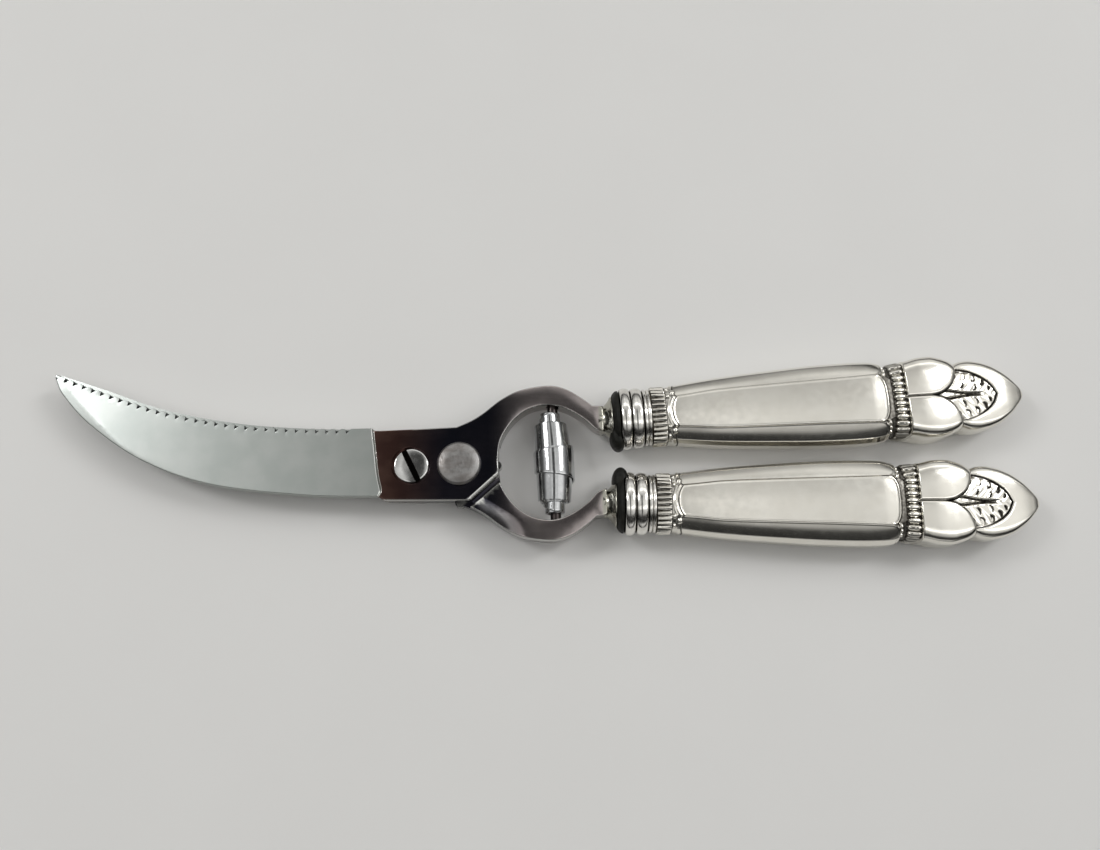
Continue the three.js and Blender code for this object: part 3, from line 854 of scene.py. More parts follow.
def cubic(table, at):
    """A smooth reading of a table of pairs, without overshoot."""
    x, y = np.array(table, float).T
    rise = np.diff(y) / np.diff(x)
    both, total = rise[:-1] * rise[1:], rise[:-1] + rise[1:]
    slope = np.divide(2 * both, total, out=np.zeros_like(both), where=both > 0)
    slope = np.concatenate([rise[:1], slope, rise[-1:]])
    k = np.clip(np.searchsorted(x, at) - 1, 0, len(x) - 2)
    h = x[k + 1] - x[k]
    t = np.clip((at - x[k]) / h, 0, 1)
    return (
        y[k] * (1 + 2 * t) * (1 - t) ** 2 + slope[k] * h * t * (1 - t) ** 2
        + y[k + 1] * t**2 * (3 - 2 * t) - slope[k + 1] * h * t**2 * (1 - t)
    )


def evenly(line, count):
    """A line again, with evenly spaced points."""
    return along_line(line, np.linspace(0, lengths(line)[-1], count))


def faceted_half(width, height, ridge):
    """Half of the panelled part's cross-section: a crowned panel, a hollow facet and a steep side, with
    its corners softened."""
    share = np.linspace(0, 1, 9)
    facet_top, facet_foot = np.array((ridge + 0.45, height - 0.42)), np.array((width * 0.9, height * 0.64))
    panel = np.stack([ridge * share, height + 0.26 * (1 - share**2)], 1)
    facet = facet_top + share[:, None] * (facet_foot - facet_top)
    facet[:, 1] += 0.17 * 4 * share * (1 - share)
    line = evenly(np.vstack([panel, facet, [(width * 0.985, height * 0.34), (width, 0)]]), 240)
    reach = max(1, round(0.26 / np.linalg.norm(line[1] - line[0])))
    whole = np.vstack([(line * [-1, 1])[reach:0:-1], line, (line[-2 - reach:-1] * [1, -1])[::-1]])
    weights = np.hanning(2 * reach + 3)[1:-1]
    soft = np.stack([np.convolve(whole[:, k], weights / weights.sum(), "same") for k in (0, 1)], 1)
    soft = soft[reach:reach + len(line)]
    soft[0, 0], soft[-1, 1] = 0, 0
    return soft


def domed_half(width, height):
    """Half of the lobed part's cross-section: a flattened dome."""
    power = 5.6
    angle = np.linspace(0, math.pi / 2, 240)
    return np.stack([width * np.sin(angle) ** (2 / power), height * np.cos(angle) ** (2 / power)], 1)


def section(s, inset, to_ridge, past_ridge):
    """Half of a cross-section from the top's middle down to the parting line. One of its points always
    lies on the ridge, so that the ridge runs true along the handle."""
    width, height, ridge = (float(cubic(table, s)) for table in (HALF_WIDTH, HALF_HEIGHT, RIDGE))
    thin = min(inset, width * 0.45, height * 0.45)
    width, height = width - thin, height - thin
    ridge = min(ridge, width * 0.7) - 0.4 * thin
    domed = float(smooth((s + 38) / 3.5))
    shapes = []
    for line in (faceted_half(width, height, ridge), domed_half(width, height)):
        split = np.searchsorted(line[:, 0], ridge)
        shapes.append(np.vstack([evenly(line[:split + 1], to_ridge), evenly(line[split:], past_ridge)[1:]]))
    return shapes[0] * (1 - domed) + shapes[1] * domed


def both_sides(half):
    return np.vstack([(half * [-1, 1])[:0:-1], half])


def rows_of_handle():
    """Places along the handle, close together where it is decorated."""
    runs = (
        (-106.9, -99.4, 0.16), (-99.4, -45, 1.7), (-45, -42.5, 0.4), (-42.5, -33.5, 0.14),
        (-33.5, -26.5, 0.32), (-26.5, -7.4, 0.15), (-7.4, -1.1, 0.35),
    )
    return np.concatenate([*(np.arange(*run) for run in runs), [-1.1, -0.8, -0.55, -0.4, -0.3]])


def crescent(s, t, centre, radius, width):
    """How deep a leaflet's crescent hollow is at each point, from 0 to 1: widest halfway along its arc."""
    ds, dt = s - centre[0], t - centre[1]
    off = np.abs((np.arctan2(dt, ds) - CRESCENT_TURN + math.pi) % (2 * math.pi) - math.pi) / CRESCENT_HALF
    swell = width * np.sqrt(np.clip(1 - off**2, 0, 1))
    away = np.abs(np.hypot(ds, dt) - radius)
    return np.clip(1 - (away / np.maximum(swell, 1e-3)) ** 2, 0, 1) * (off < 1)


def leaf_relief(s, t):
    """A plain classical leaf: a stem, a midrib, and curled leaflets parted by crescent hollows. Returns
    its height above the sunk ground and how deep its hollows are."""
    stem_half = 0.25 + 0.95 * smooth((-16.5 - s) / 8)
    hollow = bell(t - stem_half, 0.24) * smooth((-12 - s) / 5)
    for centre, radius, width in (
        ((-21.4, 5.9), 1.05, 0.44), ((-18.7, 5.7), 1.15, 0.5), ((-16.0, 4.9), 1.15, 0.5),
        ((-13.5, 3.6), 1.1, 0.46), ((-11.6, 1.9), 0.8, 0.36), ((-19.6, 3.0), 1.2, 0.26),
        ((-16.0, 2.2), 1.2, 0.26),
    ):
        hollow = np.maximum(hollow, crescent(s, t, centre, radius, width))
    swell = 0.05 * np.cos(2 * math.pi * (s - 0.9 * t + 19.4) / 2.7)
    return 0.72 + swell - 0.02 * t**2 - 0.62 * np.sqrt(np.clip(hollow, 0, 1)), hollow


def from_nearest(around, pitch):
    """The distance to the nearest of evenly repeated places."""
    return np.abs((around + pitch / 2) % pitch - pitch / 2)


def small_bead(s, t, bead_s, bead_t, size):
    """The distance from a small bead's middle, in its radii, and the height of its dome."""
    away = np.hypot(s - bead_s, t - bead_t) / size
    return away, np.sqrt(np.clip(1 - away**2, 0, 1))


# Each of these gives, or adds to, the outward relief and the darkness at points s, t of a handle, where t
# is the distance from its middle line and around the distance along its cross-section.


def reeds(s, around):
    """Reeds behind the thin rings, parted by gaps that narrow away from the mouth."""
    start, end = REEDS
    on_reeds = (s < end + 0.05) & (s > start - 0.3)
    along = np.clip((s - start) / (end - start), 0, 1)
    from_gap = from_nearest(around, REED_PITCH)
    gap = 0.34 * np.sqrt(np.clip(1 - along / 0.94, 0, 1)) * smooth(along / 0.05)
    reed = np.sqrt(np.clip((from_gap - gap) / (REED_PITCH / 2 - gap), 0, 1))
    return on_reeds * (0.5 * reed - 0.1), on_reeds * smooth((gap + 0.1 - from_gap) / 0.16) * (gap > 0.02)


def arched_collar(relief, dark, s, t):
    """The arched collar at the panel's near end, with its groove and its beads."""
    arch = np.where(t < 4.3, -102.0 + 1.5 * (t / 4.3) ** 2, -101.5 + 0.9 * ((t - 6.6) / 2.4) ** 2)
    groove = bell(s - arch - 0.78, 0.24) + bell(s + 102.95, 0.2) * (s > -103.2)
    relief = relief + 0.3 * bell(s - arch, 0.42) - 0.28 * groove
    dark = dark + 0.9 * groove
    for bead in ((-102.35, 4.35, 0.62), (-100.9, 5.6, 0.72), (-102.4, 6.8, 0.5)):
        away, dome = small_bead(s, t, *bead)
        ring = bell(away - 1.15, 0.18)
        relief = np.maximum(relief, 0.5 * dome * (away < 1)) - 0.12 * ring
        dark = np.where(away < 1, 0, np.maximum(dark, 0.8 * ring))
    return relief, dark


def panel_ends(relief, dark, s, t):
    """The panel and the side facets, with fine raised edges, end in rounded tabs before the band."""
    panel_end = PANEL_END - 1.7 * np.clip(t / 6.4, 0, 1) ** 3.5
    side_end = -40.9 - 1.7 * np.clip(1 - (t - 6.6) / 1.5, 0, 1) ** 2 - 0.3 * np.clip((t - 10) / 2, 0, 1)
    past = s - np.where(t < cubic(RIDGE, np.clip(s, -48, -41)), panel_end, side_end)
    relief = relief - 0.5 * smooth((past - 0.1) / 0.5) * (s < BAND[1])
    dark = dark + 0.7 * smooth((past - 0.25) / 0.4) * (s < BAND[0] + 0.1)
    panel_line = np.vstack([
        spline([(-101.0, 0), (-100.8, 1.8), (-100.1, 3.5), (-99.2, 4.3)], 0.25),
        [(x, float(cubic(RIDGE, x))) for x in np.linspace(-98, -44, 40)],
        spline([(-43.4, 6.5), (-42.2, 6.25), (-41.5, 5.3), (-41.0, 3.4), (PANEL_END - 0.25, 0)], 0.25),
    ])
    facet_line = spline([(-43.4, 6.5), (-42.1, 7.1), (-41.2, 8.2), (-41.0, 9.6), (-41.2, 11)], 0.25)
    for line in (panel_line, facet_line):
        away = away_from(np.stack([s, t], 1), line)
        relief = relief + 0.13 * bell(away, 0.22)
        # painted shade: a dark streak just beside each raised edge, near the panel's end
        dark = dark + 0.5 * bell(away - 0.5, 0.14) * (s > -43)
    return relief, dark


def beaded_band(relief, dark, s, t, around):
    """The band of barrel beads, and the small beads beside it."""
    from_middle, half = np.abs(s - sum(BAND) / 2), (BAND[1] - BAND[0]) / 2
    from_bead = from_nearest(around, BEAD_PITCH) / (BEAD_PITCH * 0.49)
    barrel = np.sqrt(np.clip(1 - (from_middle / half) ** 3.2 - from_bead**2, 0, 1))
    on_band = from_middle < half + 0.15
    relief = np.where(on_band, 1.05 * barrel - 0.45, relief)
    # the band darkens in the gaps between its beads, and painted shade darkens it towards its sides, past t
    # of 8.4
    dark = np.where(on_band, np.maximum(smooth((0.55 - barrel) / 0.45), 0.5 * smooth((t - 8.4) / 0.8)), dark)
    for bead in ((-40.5, 7.2, 0.55), (-41.2, 6.5, 0.42), (-40.3, 8.4, 0.5), (-40.2, 9.5, 0.45)):
        away, dome = small_bead(s, t, *bead)
        relief = np.where(away < 1, np.maximum(relief, 0.75 * dome - 0.6), relief)
        dark = np.where(away < 1, 0.1, dark)
    return relief, dark


def lobes_and_leaf(relief, dark, s, t):
    """The two lobes beyond the band, and the rim and leaf that lie below them."""
    plan = np.stack([s, t], 1)
    lobe_edge, leaf_edge = spline(LOBE, 0.25), spline(LEAF_EDGE, 0.25)
    in_lobe = into(plan, np.vstack([lobe_edge, [(-60, 14), (-60, -9), (LOBES_PART, -9)]]))
    in_lobe = np.where((in_lobe > 0) & (s < LOBES_PART), np.minimum(in_lobe, t), in_lobe)
    decorated = s > BAND[1] + 0.12
    lobe = (in_lobe > 0) & decorated
    deep, from_lobe = np.clip(in_lobe, 0, None), np.clip(-in_lobe, 0, None)
    shoulder = 0.7 * (1 - np.exp(-deep / 0.26)) + 0.3 * (1 - np.exp(-deep / 2.6))
    relief = np.where(lobe, 0.62 * shoulder * (0.3 + 0.7 * smooth((s - BAND[1] - 0.1) / 0.35)), relief)
    dark = np.where(lobe, 0.95 * np.exp(-deep / 0.2), dark)

    beyond = decorated & ~lobe
    to_edge = away_from(plan, leaf_edge)
    relief = np.where(beyond, -0.12 - 0.16 * bell(to_edge, 0.35), relief)
    dark = np.where(beyond, 0.95 * np.exp(-from_lobe / 0.16) + 0.9 * np.exp(-to_edge / 0.1), dark)

    leaf_outline = np.vstack([leaf_edge, [(LEAF_EDGE[-1][0], -9), (LOBES_PART, -9)], lobe_edge[:-10]])
    on_leaf = beyond & (into(plan, leaf_outline) > 0)
    leaf, hollow = leaf_relief(s, t)
    lip = smooth((to_edge - 0.1) / 0.4) * smooth((from_lobe - 0.05) / 0.35)
    # painted shade: the leaf darkens in its crescent hollows, along its edge and along the lobes' edge
    hollow = np.maximum.reduce([smooth((hollow - 0.04) / 0.3), bell(to_edge, 0.42), bell(from_lobe, 0.3)])
    return np.where(on_leaf, leaf * lip - LEAF_DEPTH, relief), np.where(on_leaf, hollow, dark)


def decoration(s, t, around):
    """Outward relief of a handle's surface and how dark its recesses are, at each point."""
    flat_s, flat_t, flat_around = s.ravel(), np.abs(t).ravel(), np.abs(around).ravel()
    marks = reeds(flat_s, flat_around)
    marks = arched_collar(*marks, flat_s, flat_t)
    marks = panel_ends(*marks, flat_s, flat_t)
    marks = beaded_band(*marks, flat_s, flat_t, flat_around)
    marks = lobes_and_leaf(*marks, flat_s, flat_t)
    relief, dark = (mark.reshape(s.shape) * smooth(-s / 1.5) for mark in marks)
    return relief, np.clip(dark, 0, 1)


def shell_thickness(s):
    """Thicker behind the deep relief at the handle's end."""
    return WALL + 0.45 * float(smooth((s + 43) / 2))


def handle_filler(side):
    """The cement core: it fills the ferrule and the shell, and is hollow round the tang."""
    angle = np.linspace(0, math.pi / 2, 17)
    round_half = CORE_R * np.stack([np.sin(angle), OVAL * np.cos(angle)], 1)
    halves = [(x, round_half) for x in (0.3, 4.5, HANDLE_LENGTH - 107.2)]
    for s in (-106.8, -101, -88, -73, -58, -46, -42, -39, -34, -28, -22, -17, -12, -9):
        halves.append((HANDLE_LENGTH + s, section(s, shell_thickness(s) + 0.06, 7, 11)))
    rings = []
    for x, half in halves:
        ring = np.vstack([half, (half * [1, -1])[-2::-1], (half * [-1, -1])[1:], (half * [-1, 1])[-2:0:-1]])
        rings.append(np.c_[np.full(len(ring), x), ring])
    room = bar(-1, 62.3, 2.7, 1.5)
    filler = cut(cleaned(block(rings)), prism([(-2, room), (2, room)]))
    return moved(cleaned(filler), handle_place(side))


def handle_shell():
    """One half of a handle, above the parting line: an outer skin in relief and a plain inner skin."""
    places = rows_of_handle()
    halves = [section(s, 0, 36, 58) for s in places]
    base = np.array([both_sides(half) for half in halves])
    sweep = np.array([np.concatenate([-lengths(half)[:0:-1], lengths(half)]) for half in halves])
    s = np.repeat(places[:, None], base.shape[1], 1)
    t, z = base[..., 0], base[..., 1]
    skin = np.stack([s, t, z], -1)
    normal = np.cross(np.gradient(skin, axis=0), np.gradient(skin, axis=1))
    normal /= np.linalg.norm(normal, axis=2)[..., None]
    normal *= np.sign((normal[..., 1] * t + normal[..., 2] * z).mean())
    outwards = smooth((-s - 33) / 2)[..., None]
    lift = normal * outwards + np.array([0, 0, 1]) * (1 - outwards)
    lift[:, [0, -1], 2] = 0
    relief, dark = decoration(s, t, sweep)
    relief = np.where(s > FADE_START, relief * smooth(z / 1.6), relief)
    skin = skin + lift * relief[..., None]
    skin[:, [0, -1], 2] = PARTING
    skin[..., 2] = np.maximum(skin[..., 2], PARTING)

    # the inner skin uses every eighth place, so the parting line is bridged from fine to coarse
    last = len(places) - 14
    picked = places[np.unique(np.append(np.arange(0, last, 8), last))]
    inner = np.array([both_sides(section(at, shell_thickness(at), 6, 11)) for at in picked])
    inner = np.concatenate([np.repeat(picked[:, None, None], inner.shape[1], 1), inner], 2)
    inner[..., 2] = np.maximum(inner[..., 2], PARTING)
    outer_grid = numbered(*skin.shape[:2])
    inner_grid = numbered(*inner.shape[:2], outer_grid.size)
    points = np.vstack([skin.reshape(-1, 3), inner.reshape(-1, 3)])
    faces = [*quads(outer_grid), *quads(inner_grid)[:, ::-1], *zipped(points, outer_grid, inner_grid)]
    shell = shifted(made(points, faces), HANDLE_LENGTH)
    painted(shell, "recess", np.append(dark, np.zeros(inner_grid.size)))
    return shell


def border(grid):
    """The four sides of a grid of point numbers, each from corner to corner, in turn."""
    return grid[0], grid[:, -1], grid[-1, ::-1], grid[::-1, 0]


def zipped(points, outer, inner):
    """Faces between the borders of two grids, side by side and corner to corner."""
    faces = []

    def apart(first, second):
        return np.linalg.norm(first - second)

    for a, b in zip(border(outer), border(inner)):
        i = j = 0
        while i < len(a) - 1 or j < len(b) - 1:
            here, there = points[a[i:i + 2]], points[b[j:j + 2]]
            if len(there) < 2 or (len(here) > 1 and apart(here[1], there[0]) <= apart(here[0], there[1])):
                faces.append((a[i + 1], a[i], b[j]))
                i += 1
            else:
                faces.append((a[i], b[j], b[j + 1]))
                j += 1
    return faces


def ferrule():
    """Two bold beads and two thin rings."""
    bore = 6.3

    def hump(start, end, foot, peak, lean, power, count):
        """A bead's outline, from one foot to the other."""
        angle = np.linspace(lean, math.pi - lean, count)
        along = (start + end) / 2 - np.cos(angle) * (end - start) / 2
        return zip(foot + (peak - foot) * np.sin(angle) ** power, along)

    profile = [(bore, 0), (7.7, 0)]
    for start, end, foot, peak in ((0.05, 3.1, 7.75, 8.92), (3.2, 6.45, 7.7, 8.75)):
        profile.extend(hump(start, end, foot, peak, 0.06, 0.75, 15))
    profile.append((7.5, 6.55))
    for start in (6.65, 7.75):
        profile.extend(hump(start, start + 1, 7.65, 8.25, 0.1, 0.8, 9))
    profile += [(7.6, FERRULE_LENGTH), (bore, FERRULE_LENGTH), (bore, 0)]
    collar = cleaned(turned(profile, "x", 128, OVAL), 50)
    x, y, z = points_of(collar).T
    crest = np.interp(x, [0, 3.1, 3.2, 6.45, 6.65, 9], [8.92, 8.92, 8.75, 8.75, 8.25, 8.25])
    # painted shade: darker where the surface sinks below its bead's crest, on the beads' flanks and in the
    # gaps
    painted(collar, "recess", np.clip((crest - np.hypot(y, z / OVAL) - 0.3) / 0.35, 0, 1))
    return collar


def buffer_ring(reach):
    """The black buffer: a chamfered ring, with a rounded lobe that reaches towards the other handle."""
    bore, lobe_r, stretch = 4.2, 2.4, 1.6
    profile = [
        (bore, -0.2), (bore, -BUFFER_LENGTH), (FLARE_R + 0.6, -BUFFER_LENGTH), (7.4, -1.7, 0.3),
        (8.2, -0.95, 0.3), (8.3, -0.2), (bore, -0.2),
    ]
    ring = cleaned(turned(rounded(profile, 0.12), "x", 112, OVAL), 40)
    lift = np.linspace(-math.pi / 2, math.pi / 2, 33)
    dome = np.stack([lobe_r * np.cos(lift) ** 0.6, 4.4 * np.sign(lift) * np.abs(np.sin(lift)) ** 0.8], 1)
    lobe = cleaned(turned(dome, "z", 64), 60)
    moved(lobe, Matrix.Diagonal((1, stretch, 1, 1)))
    shifted(lobe, -0.9, stretch * lobe_r - reach + 0.7)
    room = [(0, -0.18), (8.45, -0.18), (9.05, 0.9), (9.05, 4), (0, 4)]
    cut(lobe, turned(room, "x", 112, OVAL))
    return cleaned(combined(ring, cleaned(lobe), "UNION"), 40)


# ---- materials ----


class Nodes:
    """Adds nodes to a material or to the world."""

    def __init__(self, owner):
        owner.use_nodes = True
        self.owner = owner
        self.tree = owner.node_tree

    def add(self, kind, **settings):
        node = self.tree.nodes.new(kind)
        for key, value in settings.items():
            setattr(node, key, value)
        return node

    def fill(self, socket, value):
        """Links another node's output to a socket, or sets it to a number or a colour."""
        if isinstance(value, bpy.types.NodeSocket):
            self.tree.links.new(value, socket)
        else:
            socket.default_value = (*value, 1) if isinstance(value, tuple) else value

    def set(self, node, values):
        """Fills a node's sockets by name or number."""
        for key, value in values.items():
            self.fill(node.inputs[key], value)

    def axes(self, place):
        """The three parts of a place or direction."""
        split = self.add("ShaderNodeSeparateXYZ")
        self.fill(split.inputs[0], place)
        return split.outputs[0], split.outputs[1], split.outputs[2]

    def between(self, value, low, high, to_low=0, to_high=1):
        """A value's range mapped smoothly onto another."""
        node = self.add("ShaderNodeMapRange", interpolation_type="SMOOTHSTEP")
        self.set(node, {"Value": value, "From Min": low, "From Max": high})
        self.set(node, {"To Min": to_low, "To Max": to_high})
        return node.outputs["Result"]

    def math(self, operation, *values):
        node = self.add("ShaderNodeMath", operation=operation)
        self.set(node, dict(enumerate(values)))
        return node.outputs[0]

    def product(self, value, *others):
        for other in others:
            value = self.math("MULTIPLY", value, other)
        return value


class Surface(Nodes):
    """Builds one procedural material. Textures are laid out in millimetres of the piece's own space."""

    def __init__(self, name):
        super().__init__(bpy.data.materials.new(name))
        self.shader = self.tree.nodes["Principled BSDF"]

    def space(self, stretch=(1, 1, 1), turn=0.0):
        """The piece's own coordinates in millimetres, stretched."""
        mapping = self.add("ShaderNodeMapping")
        mapping.inputs["Scale"].default_value = [1 / MM * k for k in stretch]
        mapping.inputs["Rotation"].default_value = (0, 0, turn)
        self.fill(mapping.inputs["Vector"], self.add("ShaderNodeTexCoord").outputs["Object"])
        return mapping.outputs["Vector"]

    def noise(self, scale, detail, stretch=(1, 1, 1), turn=0.0):
        node = self.add("ShaderNodeTexNoise")
        self.set(node, {"Scale": scale, "Detail": detail, "Vector": self.space(stretch, turn)})
        return node.outputs["Fac"]

    def painted(self, name):
        """The numbers that a piece keeps at its points."""
        return self.add("ShaderNodeAttribute", attribute_name=name).outputs["Fac"]

    def mix(self, share, first, second):
        """A colour mixed from two, each a colour or another node's."""
        node = self.add("ShaderNodeMix", data_type="RGBA")
        self.set(node, {"Factor": share, 6: first, 7: second})
        return node.outputs[2]

    def tones(self, value, low, high, first, second):
        """One colour where a value is low, and another where it is high."""
        return self.mix(self.between(value, low, high), first, second)

    def dressed(self, color, roughness, height, depth, metallic=1.0):
        """The finished material, with a bump of so many millimetres."""
        bump = self.add("ShaderNodeBump")
        self.set(bump, {"Distance": depth * MM, "Strength": 1.0, "Height": height})
        self.set(self.shader, {"Base Color": color, "Roughness": roughness, "Metallic": metallic})
        self.set(self.shader, {"Normal": bump.outputs["Normal"]})
        return self.owner


def forged_steel():
    """Pale satin blades that turn into a dark polished joint, with painted reflections along it: brown near
    the blade, navy across the plate and a paler grey on the bow.
    """
    nodes = Surface("forged_steel")
    x, _, _ = nodes.axes(nodes.space())
    joint, painted_highlight, shade = (nodes.painted(name) for name in ("plate", "painted_highlight", "recess"))
    cloud = nodes.noise(0.12, 3)
    blade = nodes.tones(cloud, 0.3, 0.7, (0.43, 0.46, 0.44), (0.48, 0.505, 0.485))
    # painted reflections: the joint's colour runs from brown near the blade to navy and then to a paler grey
    # on the bow, by x alone
    brown = nodes.tones(cloud, 0.35, 0.65, (0.085, 0.045, 0.038), (0.13, 0.075, 0.06))
    blue = nodes.tones(cloud, 0.35, 0.65, (0.032, 0.034, 0.05), (0.052, 0.05, 0.066))
    bow = nodes.tones(cloud, 0.35, 0.65, (0.36, 0.32, 0.315), (0.47, 0.425, 0.415))
    dark = nodes.tones(x, 21, 36, nodes.tones(x, -6, 12, brown, blue), bow)
    dark = nodes.tones(x, 52.6, 53.4, dark, (0.42, 0.41, 0.36))
    # painted highlights: pale steel wherever the forgings are marked for them
    steel = nodes.mix(nodes.product(painted_highlight, 0.85), nodes.mix(joint, blade, dark), (0.62, 0.62, 0.59))
    grain = nodes.product(nodes.noise(1.2, 4, (0.12, 1, 1), 0.12), 0.05)
    rough = nodes.math("ADD", nodes.between(joint, 0, 1, 0.27, 0.13), grain)
    streaks = nodes.noise(3, 5, (0.1, 1, 1), 0.12)
    # painted shade: near black where the forgings' recess marks say so
    return nodes.dressed(nodes.mix(shade, steel, (0.012, 0.012, 0.014)), rough, streaks, 0.0035)


def bright_steel(name, color, roughness, shaded_below=None, ripple=0.0015):
    """Polished steel with faint smears, and painted shade below a height in its slot."""
    nodes = Surface(name)
    clean = nodes.tones(nodes.noise(0.4, 4), 0.3, 0.7, tuple(0.86 * c for c in color), color)
    if shaded_below is not None:
        _, _, z = nodes.axes(nodes.space())
        # painted shade: near black below the given height, deep in the slot
        clean = nodes.tones(z, shaded_below + 0.08, shaded_below, clean, (0.01, 0.009, 0.008))
    rough = nodes.between(nodes.noise(0.9, 5), 0.3, 0.75, roughness * 0.8, roughness * 1.5)
    return nodes.dressed(clean, rough, nodes.noise(6, 4), ripple)


def worn_steel():
    """A dull disc with scuffs and a fine grain."""
    nodes = Surface("worn_steel")
    cloud = nodes.noise(0.33, 5, (0.6, 1.4, 1))
    color = nodes.tones(cloud, 0.35, 0.68, (0.22, 0.205, 0.195), (0.32, 0.315, 0.31))
    scuff = nodes.noise(2.2, 6, (1, 0.35, 1), 0.5)
    return nodes.dressed(color, nodes.between(scuff, 0.3, 0.7, 0.32, 0.5), nodes.noise(3.5, 6), 0.012)


def silver():
    """Bright silver, a little worn, with dark oxide and painted shade in its recesses."""
    nodes = Surface("silver")
    bright = nodes.tones(nodes.noise(0.16, 4), 0.3, 0.7, (0.79, 0.765, 0.7), (0.83, 0.808, 0.745))
    patchy = nodes.between(nodes.noise(1.6, 4), 0.25, 0.6, 0.8, 1)
    # the recess marks hold dark oxide and painted shade: the leaf's crescent hollows, the streaks beside the
    # panel's raised edges and the band's darker sides
    oxide_and_shade = nodes.product(nodes.between(nodes.painted("recess"), 0.12, 0.85), patchy)
    wear = nodes.between(nodes.noise(0.5, 3), 0.3, 0.75, 0.14, 0.19)
    rough = nodes.math("ADD", wear, nodes.product(oxide_and_shade, 0.3))
    scratches = nodes.noise(2.4, 6, (0.12, 1.6, 1), 0.3)
    return nodes.dressed(nodes.mix(oxide_and_shade, bright, (0.035, 0.03, 0.024)), rough, scratches, 0.0003)


def ferrule_silver():
    """The same silver, smoother, with painted shade between its beads and on their flanks."""
    nodes = Surface("ferrule_silver")
    clean = nodes.tones(nodes.noise(0.5, 4), 0.3, 0.7, (0.76, 0.74, 0.7), (0.88, 0.865, 0.83))
    color = nodes.mix(nodes.painted("recess"), clean, (0.06, 0.053, 0.043))
    rough = nodes.between(nodes.noise(1.1, 5), 0.3, 0.75, 0.12, 0.22)
    return nodes.dressed(color, rough, nodes.noise(3, 5), 0.002)


def black_rubber():
    """Black rubber, a little mottled."""
    nodes = Surface("black_rubber")
    nodes.shader.inputs["Specular IOR Level"].default_value = 0.2
    cloud = nodes.noise(0.9, 5)
    color = nodes.tones(cloud, 0.35, 0.7, (0.007, 0.0075, 0.006), (0.018, 0.0175, 0.014))
    return nodes.dressed(color, nodes.between(cloud, 0.3, 0.7, 0.42, 0.6), nodes.noise(5, 5), 0.012, 0.0)


def cement():
    """Coarse brown cement."""
    nodes = Surface("cement")
    grains = nodes.noise(1.5, 6)
    color = nodes.tones(grains, 0.3, 0.7, (0.16, 0.11, 0.075), (0.3, 0.235, 0.17))
    return nodes.dressed(color, 0.9, grains, 0.1, 0.0)


def pale_floor():
    """Plain paper, nearly even in tone."""
    nodes = Surface("pale_floor")
    color = nodes.tones(nodes.noise(0.02, 3), 0.3, 0.7, (0.775, 0.77, 0.755), (0.785, 0.78, 0.765))
    return nodes.dressed(color, 0.7, nodes.noise(1.5, 4), 0.004, 0.0)


# ---- assembly ----


def finished(piece, name, material, body, node):
    """Names a piece, gives it its looks, and sets it on its body in place of its CAD node."""
    piece.name = name
    piece.data.name = name
    piece.data.materials.clear()
    piece.data.materials.append(material)
    if body:
        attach(piece, body)
    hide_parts(node)
    return piece


FORGED = forged_steel()
SCREW = bright_steel("screw_steel", (0.66, 0.66, 0.65), 0.1, heights("pivot_screw")[1] + LAP_Z - 0.5)
STEEL = bright_steel("turned_steel", (0.66, 0.66, 0.65), 0.12)
SPRING_STEEL = bright_steel("spring_steel", (0.64, 0.65, 0.66), 0.12, ripple=0.0002)
# painted shade: the spring's studs sit in shadow inside the bows, so their steel is near black
SHADED_STUD_STEEL = bright_steel("shaded_stud_steel", (0.06, 0.052, 0.05), 0.3)
WORN = worn_steel()
SILVER = silver()
FERRULE = ferrule_silver()
RUBBER = black_rubber()
CEMENT = cement()

upper_forging, lower_forging = forgings()
finished(upper_forging, "serrated_half_forging", FORGED, "serrated_half", "serrated_blade")
finished(lower_forging, "plain_half_forging", FORGED, "plain_half", "plain_blade")
finished(pivot_screw(), "slotted_pivot_screw", SCREW, "plain_half", "pivot_screw")
finished(pivot_nut(), "pivot_back_nut", STEEL, "plain_half", "pivot_nut")
finished(lock_button(), "lock_button_disc", WORN, "lock_button", "lock_button")
finished(lock_cap(), "lock_button_back_cap", WORN, "lock_button", "lock_button_cap")
coil = finished(strip_spring(), "rolled_strip_spring", SPRING_STEEL, None, "volute_spring")
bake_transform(coil)

shell = handle_shell()
for side, prefix, body, lobe_reach in ((1, "upper", "serrated_half", 10), (-1, "lower", "plain_half", 10.9)):
    place = handle_place(side)
    pin = spring_stud(side)
    finished(pin, f"{prefix}_spring_pin", SHADED_STUD_STEEL, body, f"{prefix}_spring_stud")
    ring = moved(buffer_ring(lobe_reach), place)
    finished(ring, f"{prefix}_black_buffer", RUBBER, body, f"{prefix}_buffer_ring")
    core = handle_filler(side)
    finished(core, f"{prefix}_cement_core", CEMENT, body, f"{prefix}_handle_filler")
    collar = moved(ferrule(), place)
    finished(collar, f"{prefix}_beaded_ferrule", FERRULE, body, f"{prefix}_ferrule")
    for turn, face in ((0, "front" if side > 0 else "back"), (1, "back" if side > 0 else "front")):
        name = f"{prefix}_{face}_silver_shell"
        half = moved(linked(name, shell.data.copy()), place @ Matrix.Rotation(math.pi * turn, 4, "X"))
        finished(cleaned(half, 60), name, SILVER, body, f"{prefix}_handle_{face}_shell")
bpy.data.objects.remove(shell)

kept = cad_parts["lock_detent_ring"]
kept.data.materials.clear()
kept.data.materials.append(STEEL)

# ---- studio ----


